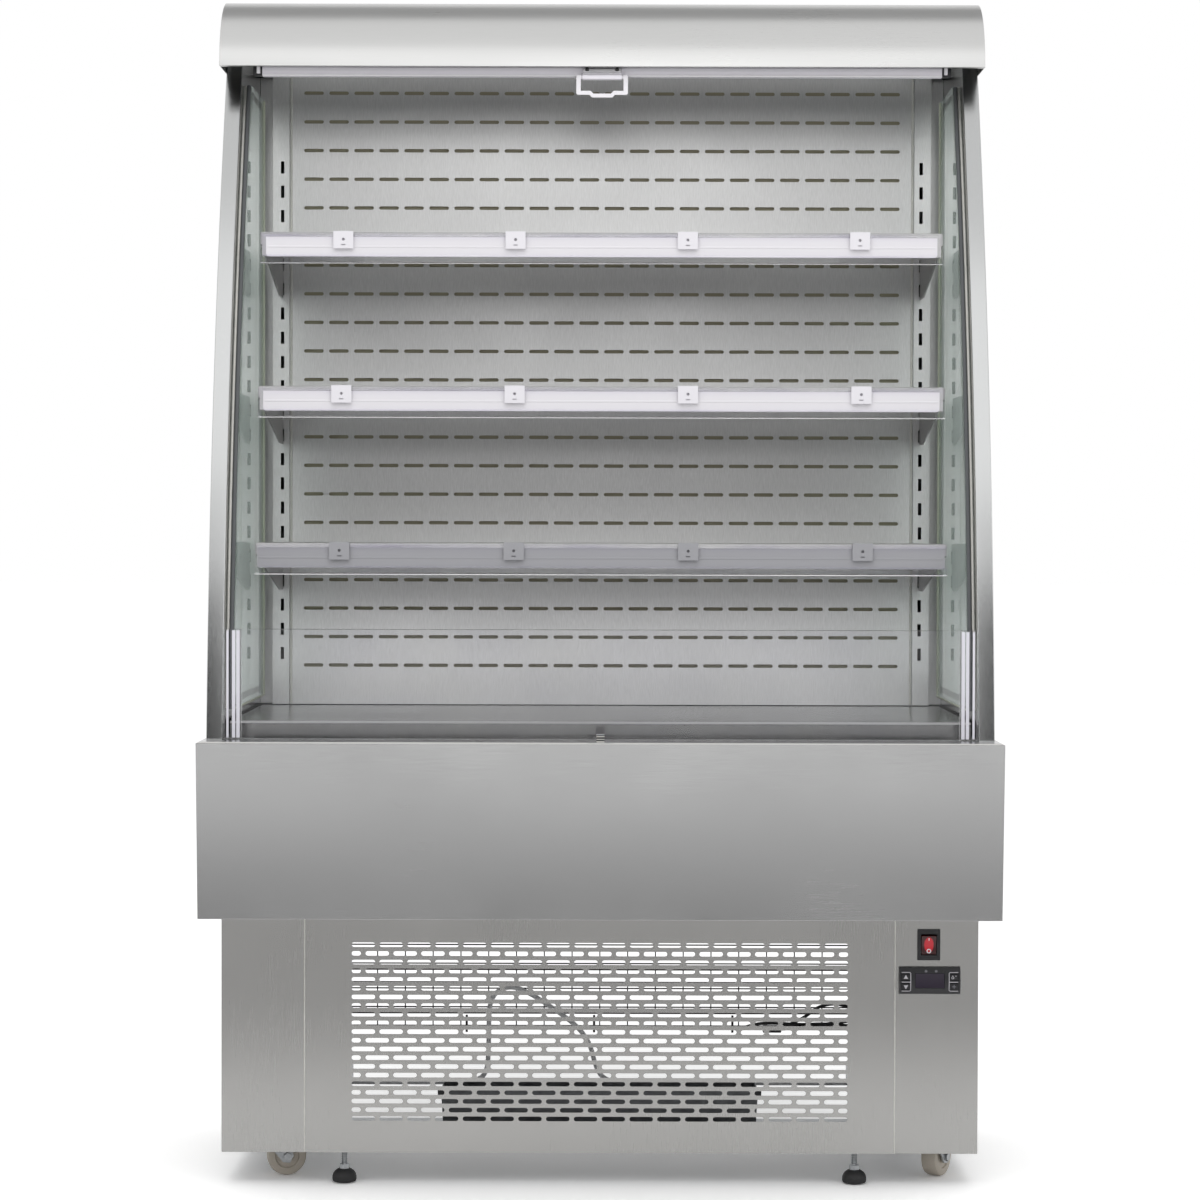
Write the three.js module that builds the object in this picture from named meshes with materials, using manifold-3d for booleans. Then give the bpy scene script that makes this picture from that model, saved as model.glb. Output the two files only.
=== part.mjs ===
// Open multideck display fridge: an insulated tub and back on a machine base, glazed end frames,
// three hook-in shelves, a quarter-round hood with a pull-down night blind, castors and feet.
// Millimetres, +Z up, +X to the right seen from the front, +Y towards the back.
// Origin: centre of the footprint, on the floor.

import * as THREE from 'three';
import { mergeGeometries, mergeVertices } from 'three/addons/utils/BufferGeometryUtils.js';
import Module from 'manifold-3d';

// ---------------------------------------------------------------- driving dimensions
const WIDTH = 955; //            outside of the two end frames
const DEPTH = 640; //            apron front to back
const HEIGHT = 1500; //          floor to the top of the hood
const SHEET = 1.2; //            folded stainless sheet
const GAP = 0.3; //              clearance between pieces that touch
const FRAME = 20; //             thickness of an end frame

const FRONT = -DEPTH / 2;
const BACK = DEPTH / 2;
const SIDE = WIDTH / 2;
const INSIDE = SIDE - FRAME - GAP; //  half width between the end frames
const SKIRT_Z = 42; //           lower edge of the base panels
const BASE_TOP = 366; //         machine base meets the tub
const BASE_FRONT = -81;
const LEDGE_Z = 575; //          top of the apron
const APRON_LEAN = 17; //        how far the apron's foot sits behind its top edge
const DECK_Z = 595;
const PANE_TOP = 708;
const HOOD_BOTTOM = 1408;
const HOOD_RADIUS = HEIGHT - HOOD_BOTTOM;
const HOOD_FRONT = -94;
const WRAP = SIDE + GAP; //      inner face of the sheets that wrap over the end frames

// The convex front edge of the end frames is one arc: lean at its foot, and its radius.
const ARC_FOOT_Y = -234;
const ARC_RADIUS = 2813;
const ARC_LEAN = 5;
const ARC_TOP_Z = 1410;

const WALL_Y = 159; //           front face of the slotted back wall
const WALL_HALF = 415.5;
const REAR_Y = 262; //           inner face of the insulated back
const REAR_SKIN = BACK - SHEET - 0.2; //  the hood's rear flange laps over this face
const CEILING_Z = 1434;
const SLOT_X = 425.2; //         centre line of the upright's hook slots
const SLOT_PITCH = 32.35;
const SLOT_COUNT = 21;
const SLOT_LOW = 664;

// Shelves: top face, and how far forward each one reaches.
const SHELVES = [
  { name: 'shelf_upper', strip: 'label_strip_upper', top: 1199.6, front: -106 },
  { name: 'shelf_middle', strip: 'label_strip_middle', top: 1006.5, front: -134 },
  { name: 'shelf_lower', strip: 'label_strip_lower', top: 812.4, front: -163 },
];
const SHELF_HALF = 423.6;
const STRIP_HEIGHT = 38.5;

// Front grille: rows of long slots, every other row set off by half a pitch and ended by short stubs.
const GRILLE_HALF = 371.6;
const GRILLE = {
  rows: 21, top: 305, rowPitch: 11, pitch: 35.1, slots: 18, length: 29.7, high: 5.9, stub: 11.7,
};

const WHEEL_RADIUS = 25;
const CASTOR_TRAIL = 18;
const FRAME_Z = 66; //           underside of the base frame, where the castors bolt on
const PLATE = 2.5;
const DRAIN = { x: -90, y: 0, outer: 11, inner: 8.5, low: 304 };
const CASTORS = [
  { name: 'front_left', x: -420, y: -14, turn: 12 },
  { name: 'front_right', x: 424, y: -22, turn: 58 },
  { name: 'rear_left', x: -420, y: 262, turn: 30 },
  { name: 'rear_right', x: 424, y: 262, turn: 40 },
];
const FOOT_X = 324;
const FOOT_Y = -56;

// Night blind: where its bottom bar hangs at rest, and its roller.
const BAR = { y: -70, z: 1404, half: 427 };
const ROLLER = { y: -47, z: 1449, radius: 21, half: 428 };
const HANDLE_PIVOT = { y: -80.5, z: 1396.5 };

// ---------------------------------------------------------------- solids and booleans
const wasm = await Module();
wasm.setup();

function toSolid(geometry) {
  const bare = geometry.index ? geometry.toNonIndexed() : geometry.clone();
  bare.deleteAttribute('normal');
  bare.deleteAttribute('uv');
  const merged = mergeVertices(bare, 1e-4);
  return new wasm.Manifold(new wasm.Mesh({
    numProp: 3,
    vertProperties: new Float32Array(merged.attributes.position.array),
    triVerts: new Uint32Array(merged.index.array),
  }));
}

function toGeometry(solid) {
  const mesh = solid.getMesh();
  const geometry = new THREE.BufferGeometry();
  geometry.setAttribute('position', new THREE.BufferAttribute(new Float32Array(mesh.vertProperties), 3));
  geometry.setIndex(new THREE.BufferAttribute(new Uint32Array(mesh.triVerts), 1));
  return geometry;
}

function join(...pieces) {
  return toGeometry(pieces.map(toSolid).reduce((all, one) => all.add(one)));
}

function cut(body, ...tools) {
  return toGeometry(tools.map(toSolid).reduce((left, one) => left.subtract(one), toSolid(body)));
}

function box([x0, x1], [y0, y1], [z0, z1]) {
  const geometry = new THREE.BoxGeometry(x1 - x0, y1 - y0, z1 - z0);
  return geometry.translate((x0 + x1) / 2, (y0 + y1) / 2, (z0 + z1) / 2);
}

// A shape whose points run counter-clockwise, whichever way they were listed.
function outline(points) {
  const corners = points.map(([a, b]) => new THREE.Vector2(a, b));
  return new THREE.Shape(THREE.ShapeUtils.isClockWise(corners) ? corners.reverse() : corners);
}

function drawnOut(points, depth) {
  return new THREE.ExtrudeGeometry(outline(points), { depth, steps: 1, bevelEnabled: false });
}

function prism(points, length, holes = []) {
  const solid = drawnOut(points, length);
  if (!holes.length) {
    return solid;
  }
  return cut(solid, mergeGeometries(holes.map((hole) => drawnOut(hole, length + 2).translate(0, 0, -1))));
}

// A profile drawn in (y, z) and drawn out along X, one in (x, z) along Y, one in (x, y) along Z.
function alongX(points, [x0, x1], holes) {
  const turn = new THREE.Matrix4().set(0, 0, 1, x0, 1, 0, 0, 0, 0, 1, 0, 0, 0, 0, 0, 1);
  return prism(points, x1 - x0, holes).applyMatrix4(turn);
}

function alongY(points, [y0, y1], holes) {
  const turn = new THREE.Matrix4().set(1, 0, 0, 0, 0, 0, -1, y1, 0, 1, 0, 0, 0, 0, 0, 1);
  return prism(points, y1 - y0, holes).applyMatrix4(turn);
}

const alongZ = (points, [z0, z1], holes) => prism(points, z1 - z0, holes).translate(0, 0, z0);

const span = (a, b) => (a < b ? [a, b] : [b, a]);

const rectangle = ([a0, a1], [b0, b1]) => [[a0, b0], [a1, b0], [a1, b1], [a0, b1]];

function circle(radius, sides, a = 0, b = 0) {
  return Array.from({ length: sides }, (_, i) => {
    const angle = ((i + 0.5) * 2 * Math.PI) / sides;
    return [a + radius * Math.cos(angle), b + radius * Math.sin(angle)];
  });
}

// A sheet of even thickness that follows a line of bends; the second face lies to the left of the line.
function folded(line, thickness) {
  const points = line.map(([a, b]) => new THREE.Vector2(a, b));
  const sides = points.slice(1).map((p, i) => p.clone().sub(points[i]).normalize());
  const other = points.map((p, i) => {
    const before = sides[Math.max(i - 1, 0)];
    const after = sides[Math.min(i, sides.length - 1)];
    const normal = new THREE.Vector2(-before.y - after.y, before.x + after.x).normalize();
    const reach = thickness / (-normal.x * before.y + normal.y * before.x);
    return [p.x + normal.x * reach, p.y + normal.y * reach];
  });
  return [...line, ...other.reverse()];
}

function lathe(profile, sides) {
  const points = profile.map(([r, z]) => new THREE.Vector2(r, z));
  return new THREE.LatheGeometry(points, sides).rotateX(Math.PI / 2);
}

function tube(points, radius, sides, steps) {
  const path = new THREE.CatmullRomCurve3(points.map((p) => new THREE.Vector3(...p)));
  const shape = outline(circle(radius, sides));
  return new THREE.ExtrudeGeometry(shape, { extrudePath: path, steps, bevelEnabled: false });
}

// The piece seen in a mirror at X = 0, with its faces turned back outwards.
function mirrored(geometry) {
  const flat = (geometry.index ? geometry.toNonIndexed() : geometry).clone();
  const position = flat.attributes.position;
  for (let i = 0; i < position.count; i += 3) {
    const corners = [0, 2, 1].map((k) => new THREE.Vector3().fromBufferAttribute(position, i + k));
    corners.forEach((p, k) => position.setXYZ(i + k, -p.x, p.y, p.z));
  }
  return flat;
}

// ---------------------------------------------------------------- materials
const finish = (color, roughness, metalness) => ({ color, roughness, metalness });
const STEEL = finish(0xb4b4b2, 0.35, 0.9);
const ZINC = finish(0xa9adb0, 0.45, 0.8);
const GLASS = { ...finish(0xdfe8e6, 0.05, 0), transparent: true, opacity: 0.3 };
const CLEAR = { ...finish(0xeef2f4, 0.08, 0), transparent: true, opacity: 0.35 };
const WHITE = finish(0xe9e7ea, 0.45, 0);
const BLACK = finish(0x1b1b1d, 0.5, 0);
const RED = finish(0xb3201a, 0.3, 0);
const RUBBER = finish(0x1d1d1e, 0.75, 0);
const NYLON = finish(0xa89f90, 0.5, 0);
const ALUMINIUM = finish(0xc3c5c7, 0.4, 0.9);
const CLOTH = finish(0xc9c9cb, 0.9, 0);

const fridge = new THREE.Group();

function add(name, geometry, look) {
  const mesh = new THREE.Mesh(geometry, new THREE.MeshStandardMaterial(look));
  mesh.name = name;
  fridge.add(mesh);
  return mesh;
}

function addPair(name, geometry, look) {
  add(`${name}_right`, geometry, look);
  add(`${name}_left`, mirrored(geometry), look);
}

// ---------------------------------------------------------------- end frames and their glass
function frontArc(offset, zLow, zHigh, parts) {
  const lean = THREE.MathUtils.degToRad(ARC_LEAN);
  const centreY = ARC_FOOT_Y + ARC_RADIUS * Math.cos(lean);
  const centreZ = LEDGE_Z - ARC_RADIUS * Math.sin(lean);
  const radius = ARC_RADIUS - offset;
  const low = Math.asin((zLow - centreZ) / radius);
  const high = Math.asin((zHigh - centreZ) / radius);
  return Array.from({ length: parts + 1 }, (_, i) => {
    const angle = low + ((high - low) * i) / parts;
    return [centreY - radius * Math.cos(angle), centreZ + radius * Math.sin(angle)];
  });
}

const WINDOW = { border: 24, low: 608, high: 1396, rear: 128 };

function windowOutline(inset) {
  const arc = frontArc(WINDOW.border + inset, WINDOW.low + inset, WINDOW.high - inset, 9);
  return [...arc, [WINDOW.rear - inset, WINDOW.high - inset], [WINDOW.rear - inset, WINDOW.low + inset]];
}

function endFrame() {
  const inHood = HEIGHT - 6;
  const outer = [
    [REAR_SKIN, BASE_TOP], [FRONT + APRON_LEAN + 3, BASE_TOP], [FRONT + 3, LEDGE_Z - 2],
    ...frontArc(0, LEDGE_Z - 2, ARC_TOP_Z, 12), [-22, ARC_TOP_Z + 18], [-22, inHood], [REAR_SKIN, inHood],
  ];
  return alongX(outer, [SIDE - FRAME, SIDE], [windowOutline(0)]);
}

// Two panes and the spacer bar between them; the bar leaves a filling gap at its lower rear corner.
// The unit stands proud of the end frame's inner face, where a bead holds it.
function sideGlass() {
  const pane = 4;
  const outer = SIDE - 10;
  const inner = outer - 20;
  const lap = 0.2;
  const spacer = alongX(windowOutline(8), [inner + pane - lap, outer - pane + lap], [windowOutline(16)]);
  const fillingGap = box([inner + pane, outer - pane], [90, 96], [WINDOW.low, WINDOW.low + 20]);
  return join(
    alongX(windowOutline(GAP), [inner, inner + pane]),
    alongX(windowOutline(GAP), [outer - pane, outer]),
    cut(spacer, fillingGap),
  );
}

addPair('end_frame', endFrame(), STEEL);
addPair('side_glass', sideGlass(), GLASS);

// ---------------------------------------------------------------- tub, apron and deck
const TUB_WALL = 34;
const WELL_FLOOR = 400;

function tub() {
  const outer = [
    [FRONT + APRON_LEAN + 3, BASE_TOP], [REAR_Y - GAP, BASE_TOP],
    [REAR_Y - GAP, LEDGE_Z - 2], [FRONT + 4, LEDGE_Z - 2],
  ];
  const body = alongX(outer, [-INSIDE, INSIDE]);
  const well = box(
    [-INSIDE + TUB_WALL, INSIDE - TUB_WALL], [FRONT + 58, REAR_Y + 10], [WELL_FLOOR, LEDGE_Z + 10]);
  const drain = alongZ(circle(DRAIN.outer + 0.8, 12, DRAIN.x, DRAIN.y), [BASE_TOP - 5, WELL_FLOOR + 5]);
  return cut(body, well, drain);
}

function apron() {
  const foot = BASE_TOP - 1.8;
  const toe = FRONT + APRON_LEAN;
  const ledgeBack = -236;
  const wingBack = -222;
  const line = [[ledgeBack, LEDGE_Z], [FRONT, LEDGE_Z], [toe, foot], [toe + 16, foot]];
  const wing = [[toe, foot], [FRONT, LEDGE_Z], [wingBack, LEDGE_Z], [wingBack, foot]];
  const outer = WRAP + SHEET;
  return join(
    alongX(folded(line, SHEET), [-outer, outer]),
    alongX(wing, [WRAP, outer]),
    alongX(wing, [-outer, -WRAP]),
  );
}

const DECK_FRONT = -204;

// A folded tray turned over: its rim rests on the tub and hides the coil and fans below.
function deckPan() {
  const half = INSIDE - 5;
  const back = WALL_Y - 4;
  const top = box([-half, half], [DECK_FRONT, back], [LEDGE_Z - 1.4, DECK_Z]);
  const hollow = box([-half + SHEET, half - SHEET], [DECK_FRONT + SHEET, back - SHEET],
    [LEDGE_Z - 50, DECK_Z - SHEET]);
  return cut(top, hollow);
}

// A clear pane seated in a grooved post at each end, moulded as one.
function clearPane() {
  const y = -239;
  const foot = LEDGE_Z + GAP;
  const half = INSIDE - 2;
  const post = (sign) => alongZ(
    rectangle(span(sign * half, sign * (half - 20.5)), [y - 7, y + 7]), [foot, PANE_TOP]);
  return join(box([-half + 6, half - 6], [y - 2, y + 2], [foot, PANE_TOP]), post(1), post(-1));
}

// A small hook with its nose to the front and two grip ribs.
function catchHook() {
  const y = -312;
  const z = LEDGE_Z + GAP;
  const hook = [
    [y - 4, z], [y + 3, z], [y + 3, z + 11], [y - 6, z + 11], [y - 6, z + 9], [y - 1, z + 8.6],
    [y - 1, z + 6.8], [y - 2.4, z + 6.4], [y - 2.4, z + 5], [y - 1, z + 4.6], [y - 1, z + 1],
  ];
  return join(box([-15.5, 15.5], [y - 7, y + 7], [z, z + 1.5]), alongX(hook, [-5, 5]));
}

// ---------------------------------------------------------------- insulated back, roof and air way
function wallPanel() {
  const edge = WALL_Y + 26;
  const line = [[-WALL_HALF, edge], [-WALL_HALF, WALL_Y], [WALL_HALF, WALL_Y], [WALL_HALF, edge]];
  return alongZ(folded(line, SHEET), [DECK_Z + 1, CEILING_Z - GAP]);
}

function upright() {
  const line = [
    [WALL_HALF + GAP, WALL_Y + 24], [WALL_HALF + GAP, WALL_Y - 2], [WALL_HALF + 23, WALL_Y - 2],
    [WALL_HALF + 23, WALL_Y + 24], [INSIDE, WALL_Y + 24],
  ];
  const post = alongZ(folded(line, 1.6), [DECK_Z + 1, CEILING_Z - GAP]);
  const slots = Array.from({ length: SLOT_COUNT }, (_, i) => {
    const z = SLOT_LOW + i * SLOT_PITCH;
    return box([SLOT_X - 2.2, SLOT_X + 2.2], [WALL_Y - 5, WALL_Y + 2], [z - 8, z + 8]);
  });
  return cut(post, ...slots);
}

function roofPanel() {
  const slab = [
    [-2, CEILING_Z + 4], [8, CEILING_Z + 4], [8, CEILING_Z + 28], [REAR_Y - GAP, CEILING_Z + 28],
    [REAR_Y - GAP, HEIGHT - 6], [-2, HEIGHT - 6],
  ];
  return join(alongX(slab, [-INSIDE, INSIDE]), blindBracket(1), blindBracket(-1));
}

// An ear that hangs from the roof's front lip and carries a pin for the blind's roller.
function blindBracket(sign) {
  const near = sign * (ROLLER.half + 3);
  const far = sign * (ROLLER.half + 5.5);
  const plate = [[-1, 1437], [-1, 1478], [-60, 1464], [-60, 1438]];
  const pin = alongX(circle(3.4, 8, ROLLER.y, ROLLER.z), span(sign * (ROLLER.half - 12), far));
  return join(alongX(plate, span(near, far)), pin);
}

function ceilingSheet() {
  const line = [[WALL_Y + 2, CEILING_Z], [34, CEILING_Z], [34, CEILING_Z + 12]];
  return alongX(folded(line, -SHEET), [-INSIDE, INSIDE]);
}

// Long vanes across the mouth of the ceiling duct, which straighten the falling air curtain.
function airOutlet() {
  const vanes = 5;
  const from = 9;
  const to = 32.4;
  const cell = (to - from - 1) / vanes;
  const holes = [];
  for (const [x0, x1] of [[-INSIDE + 4, -152], [-148, 148], [152, INSIDE - 4]]) {
    for (let i = 0; i < vanes; i += 1) {
      holes.push(rectangle([x0, x1], [from + 1 + i * cell, from + (i + 1) * cell]));
    }
  }
  return alongZ(rectangle([-INSIDE + 1, INSIDE - 1], [from, to]), [CEILING_Z + 2, CEILING_Z + 12], holes);
}

function canopyHood() {
  const outer = WRAP + SHEET;
  const centre = [HOOD_FRONT + HOOD_RADIUS, HOOD_BOTTOM];
  const arc = Array.from({ length: 13 }, (_, i) => {
    const angle = Math.PI - (i * Math.PI) / 24;
    return [centre[0] + HOOD_RADIUS * Math.cos(angle), centre[1] + HOOD_RADIUS * Math.sin(angle)];
  });
  const line = [[HOOD_FRONT + 9, HOOD_BOTTOM], ...arc, [BACK, HEIGHT], [BACK, HEIGHT - 30]];
  const cap = [...arc, [BACK, HEIGHT], [BACK, HOOD_BOTTOM]];
  return join(
    alongX(folded(line, -SHEET), [-outer, outer]),
    alongX(cap, [WRAP, outer]),
    alongX(cap, [-outer, -WRAP]),
  );
}

add('tub', tub(), STEEL);
add('apron', apron(), STEEL);
add('deck_pan', deckPan(), STEEL);
add('clear_pane', clearPane(), CLEAR);
add('catch_hook', catchHook(), STEEL);
add('rear_panel', box([-INSIDE, INSIDE], [REAR_Y, REAR_SKIN], [BASE_TOP, HEIGHT - 6]), STEEL);
add('wall_panel', wallPanel(), STEEL);
addPair('upright', upright(), STEEL);
add('roof_panel', roofPanel(), STEEL);
add('ceiling_sheet', ceilingSheet(), STEEL);
add('air_outlet', airOutlet(), ALUMINIUM);
add('canopy_hood', canopyHood(), STEEL);

// ---------------------------------------------------------------- shelves and label strips
// The bracket hooks over the lower edge of two upright slots and carries the plate on its flange.
function shelf({ top, front }) {
  const nose = front + 6;
  const face = WALL_Y - 2 - GAP;
  const hookY = WALL_Y + 5.2;
  const seat = top - SHEET;
  const hook = (z) => [
    [face, z - 1], [hookY - 3, z - 1], [hookY - 3, z - 6], [hookY, z - 6], [hookY, z + 5], [face, z + 5],
  ];
  const upper = SLOT_LOW + SLOT_PITCH * Math.round((top - 16 - SLOT_LOW) / SLOT_PITCH);
  const blade = [
    [nose, seat], [nose, seat - 14], [face - 40, upper - SLOT_PITCH - 12], [face, upper - SLOT_PITCH - 12],
    ...hook(upper - SLOT_PITCH), ...hook(upper), [face, seat],
  ];
  const bracket = (sign) => {
    const plate = alongX(blade, [SLOT_X - 1, SLOT_X + 1]);
    const flange = box([SLOT_X - 14, SLOT_X + 1], [nose, face - 2], [seat - 1.6, seat + 0.2]);
    const whole = join(plate, flange);
    return sign > 0 ? whole : mirrored(whole);
  };
  const line = [[face - 6, top], [front, top], [front, top - 30], [front + 10, top - 30]];
  const plate = alongX(folded(line, SHEET), [-SHELF_HALF, SHELF_HALF]);
  return join(plate, bracket(1), bracket(-1));
}

// Clear extrusion that clips on the shelf's nose: a flat face between two curled lips.
function labelStrip({ top, front }) {
  const back = front - GAP;
  const high = top - 1;
  const low = high - STRIP_HEIGHT;
  const profile = [
    [back, low + 2], [back, high], [back - 5.4, high], [back - 6.4, high - 1.4], [back - 6.4, high - 5],
    [back - 4.8, high - 5], [back - 4.8, high - 2.4], [back - 2, high - 2.4], [back - 2, low + 8],
    [back - 5, low + 8], [back - 5, low + 10.6], [back - 6.6, low + 10.6], [back - 6.6, low + 1.6],
    [back - 5.6, low], [back - 1.6, low],
  ];
  return alongX(profile, [-SHELF_HALF - 2, SHELF_HALF + 2]);
}

for (const one of SHELVES) {
  add(one.name, shelf(one), STEEL);
  add(one.strip, labelStrip(one), CLEAR);
}

// ---------------------------------------------------------------- machine base
function grillePanel() {
  const holes = [];
  for (let row = 0; row < GRILLE.rows; row += 1) {
    const z = GRILLE.top - row * GRILLE.rowPitch;
    const high = [z - GRILLE.high / 2, z + GRILLE.high / 2];
    const shifted = row % 2;
    const count = GRILLE.slots - shifted;
    for (let i = 0; i < count; i += 1) {
      const x = (i - (count - 1) / 2) * GRILLE.pitch;
      holes.push(rectangle([x - GRILLE.length / 2, x + GRILLE.length / 2], high));
    }
    if (shifted) {
      const edge = ((GRILLE.slots - 1) / 2) * GRILLE.pitch + GRILLE.length / 2;
      holes.push(rectangle([edge - GRILLE.stub, edge], high), rectangle([-edge, GRILLE.stub - edge], high));
    }
  }
  const tall = [SKIRT_Z, BASE_TOP - GAP];
  const face = alongY(rectangle([-GRILLE_HALF, GRILLE_HALF], tall), [BASE_FRONT, BASE_FRONT + SHEET], holes);
  const flange = (x) => box([x - SHEET / 2, x + SHEET / 2], [BASE_FRONT + 0.2, BASE_FRONT + 16], tall);
  return join(face, flange(GRILLE_HALF - SHEET / 2), flange(SHEET / 2 - GRILLE_HALF));
}

const SWITCH = { x: 414.8, z: 307, wide: 28.8, high: 39.3 };
const CONTROLLER = { x: 415.9, z: 262, wide: 77, high: 35 };

function baseSide() {
  const line = [
    [SIDE - 34, BACK - 2], [SIDE, BACK - 2], [SIDE, BASE_FRONT], [GRILLE_HALF + 0.6, BASE_FRONT],
    [GRILLE_HALF + 0.6, BASE_FRONT + 14],
  ];
  return alongZ(folded(line, -SHEET), [SKIRT_Z, BASE_TOP - GAP]);
}

const cutOut = ({ x, z, wide, high }, margin) => box(
  [x - wide / 2 + margin, x + wide / 2 - margin], [BASE_FRONT - 9, BASE_FRONT + 9],
  [z - high / 2 + margin, z + high / 2 - margin]);

// Two side plates, each with an upstand, and two cross rails; the middle of the base stays open.
function baseFrame() {
  const top = FRAME_Z + PLATE;
  const outer = SIDE - SHEET - GAP;
  const front = BASE_FRONT + SHEET + GAP;
  const inner = 342;
  const upstand = 24;
  const railFoot = 52;
  const plate = (sign) => [
    box(span(sign * inner, sign * outer), [front + 16, BACK - 8], [FRAME_Z, top]),
    box(span(sign * inner, sign * (inner + PLATE)), [30, BACK - 8], [top - 0.2, top + upstand]),
  ];
  const rail = (y0, y1) => alongX(
    folded([[y0, railFoot], [y0, top], [y1, top], [y1, railFoot]], -2), [-inner - 1, inner + 1]);
  const studHole = (x) => alongZ(circle(4.7, 10, x, FOOT_Y), [FRAME_Z - 26, FRAME_Z + 24]);
  const castorPlates = CASTORS.map(({ x, y }) => box(
    [x - 30, x + 30], [y - 25, y + 25], [FRAME_Z - PLATE, FRAME_Z + 0.2]));
  const whole = join(...plate(1), ...plate(-1), rail(front + 1, -40), rail(-13, 13), ...castorPlates);
  return cut(whole, studHole(FOOT_X), studHole(-FOOT_X));
}

// Upright wires across the open back of the base, held by a strap that meets the base sides.
// It stops well above the floor plates, so that air and a broom get in below it.
function wireGuard() {
  const wire = 1.6;
  const pitch = 38.6;
  const columns = 18;
  const low = 136;
  const high = 342;
  const holes = Array.from({ length: columns }, (_, i) => {
    const x = (i - columns / 2) * pitch;
    return rectangle([x + wire / 2, x + pitch - wire / 2], [low + wire / 2, high - wire / 2]);
  });
  const half = (columns / 2) * pitch + wire / 2;
  const field = rectangle([-half, half], [low - wire / 2, high + wire / 2]);
  const net = alongY(field, [BACK - 6, BACK - 6 + wire], holes);
  const strap = box([-SIDE + 20, SIDE - 20], [BACK - 4.6, BACK - 3.5], [high - 6, high + 6]);
  return join(net, strap);
}

// An open basin with slightly flared ends, which stands on the cross rails.
function evaporationTray() {
  const half = 202;
  const wall = 1.5;
  const flare = 3;
  const front = -47;
  const back = 42;
  const low = FRAME_Z + PLATE + GAP;
  const high = low + 46;
  const outer = [[-half + flare, low], [half - flare, low], [half, high], [-half, high]];
  const foot = half - flare - wall;
  const rim = half - wall + 0.3;
  const inner = [[-foot, low + 1.6], [foot, low + 1.6], [rim, high + 4], [-rim, high + 4]];
  return cut(alongY(outer, [front, back]), alongY(inner, [front + wall, back - wall]));
}

add('grille_panel', grillePanel(), STEEL);
add('base_side_right', cut(baseSide(), cutOut(SWITCH, 1.8), cutOut(CONTROLLER, 3)), STEEL);
add('base_side_left', mirrored(baseSide()), STEEL);
add('base_frame', baseFrame(), ZINC);
add('rear_wire_guard', wireGuard(), ZINC);
add('evaporation_tray', evaporationTray(), ZINC);

// ---------------------------------------------------------------- refrigeration
function compressor() {
  const x = -409;
  const y = 120;
  const foot = FRAME_Z + PLATE + GAP;
  const shell = lathe([
    [0, 0], [46, 0], [60, 16], [60, 66], [61.5, 70], [60, 74], [58, 118], [46, 142], [22, 152], [0, 154],
  ], 16).scale(1, 1.42, 1).translate(x, y, foot + 12);
  const plate = box([x - 58, x + 58], [y - 98, y + 98], [foot + 8, foot + 11]);
  const grommet = (sx, sy) => alongZ(circle(9, 6, x + sx * 46, y + sy * 84), [foot, foot + 9]);
  const cover = box([x - 34, x + 34], [y - 108, y - 70], [foot + 50, foot + 108]);
  return join(shell, plate, cover, grommet(1, 1), grommet(-1, 1), grommet(1, -1), grommet(-1, -1),
    box([x - 30, x + 30], [y - 40, y + 40], [foot + 10, foot + 20]));
}

const CONDENSER = { x0: 350, x1: 384, y0: 16, y1: 236, z0: 96, z1: 316 };

function finnedCoil([a0, a1], [b0, b1], fins, gap) {
  const step = (a1 - a0 + gap) / fins;
  const comb = [];
  for (let i = 0; i < fins; i += 1) {
    const from = a0 + i * step;
    comb.push([from, b0], [from + step - gap, b0]);
    if (i < fins - 1) {
      comb.push([from + step - gap, b1 - (b1 - b0) * 0.5], [from + step, b1 - (b1 - b0) * 0.5]);
    }
  }
  return [...comb, [a1, b1], [a0, b1]];
}

// Fins face the open middle of the base; hairpin bends stand out at the rear end.
function condenserCoil() {
  const { x0, x1, y0, y1, z0, z1 } = CONDENSER;
  const profile = finnedCoil([y0, y1], [x0, x1], 12, 8).map(([y, x]) => [x, y]);
  const block = alongZ(profile, [z0, z1]);
  const bends = Array.from({ length: 4 }, (_, i) => {
    const z = z0 + 28 + i * 52;
    const eye = rectangle([y1, y1 + 5], [z + 4, z + 22]);
    return alongX(rectangle([y1 - 2, y1 + 12], [z - 4, z + 30]), [x1 - 14, x1 - 5], [eye]);
  });
  const leg = (y) => box([x0 + 4, x1], [y - 2, y + 2], [FRAME_Z + PLATE + GAP, z0 + 20]);
  return join(block, ...bends, leg(y0), leg(y1 - 4));
}

const CONDENSER_FAN = { x: 408, y: 126, z: 206, radius: 92 };

function condenserShroud() {
  const { y0, y1, z0, z1, x1 } = CONDENSER;
  const { y, z, radius } = CONDENSER_FAN;
  const face = x1 + GAP;
  const plate = alongX(rectangle([y0, y1], [z0, z1]), [face, face + SHEET], [circle(radius + 4, 16, y, z)]);
  const ring = alongX(circle(radius + 5.4, 16, y, z), [face, face + 38], [circle(radius + 4, 16, y, z)]);
  const arm = box([face + 36, face + 38], [y - radius - 5, y + radius + 5], [z - 9, z + 9]);
  const motor = alongX(circle(24, 8, y, z), [face + 35.6, face + 66]);
  return join(plate, ring, arm, motor);
}

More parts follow.
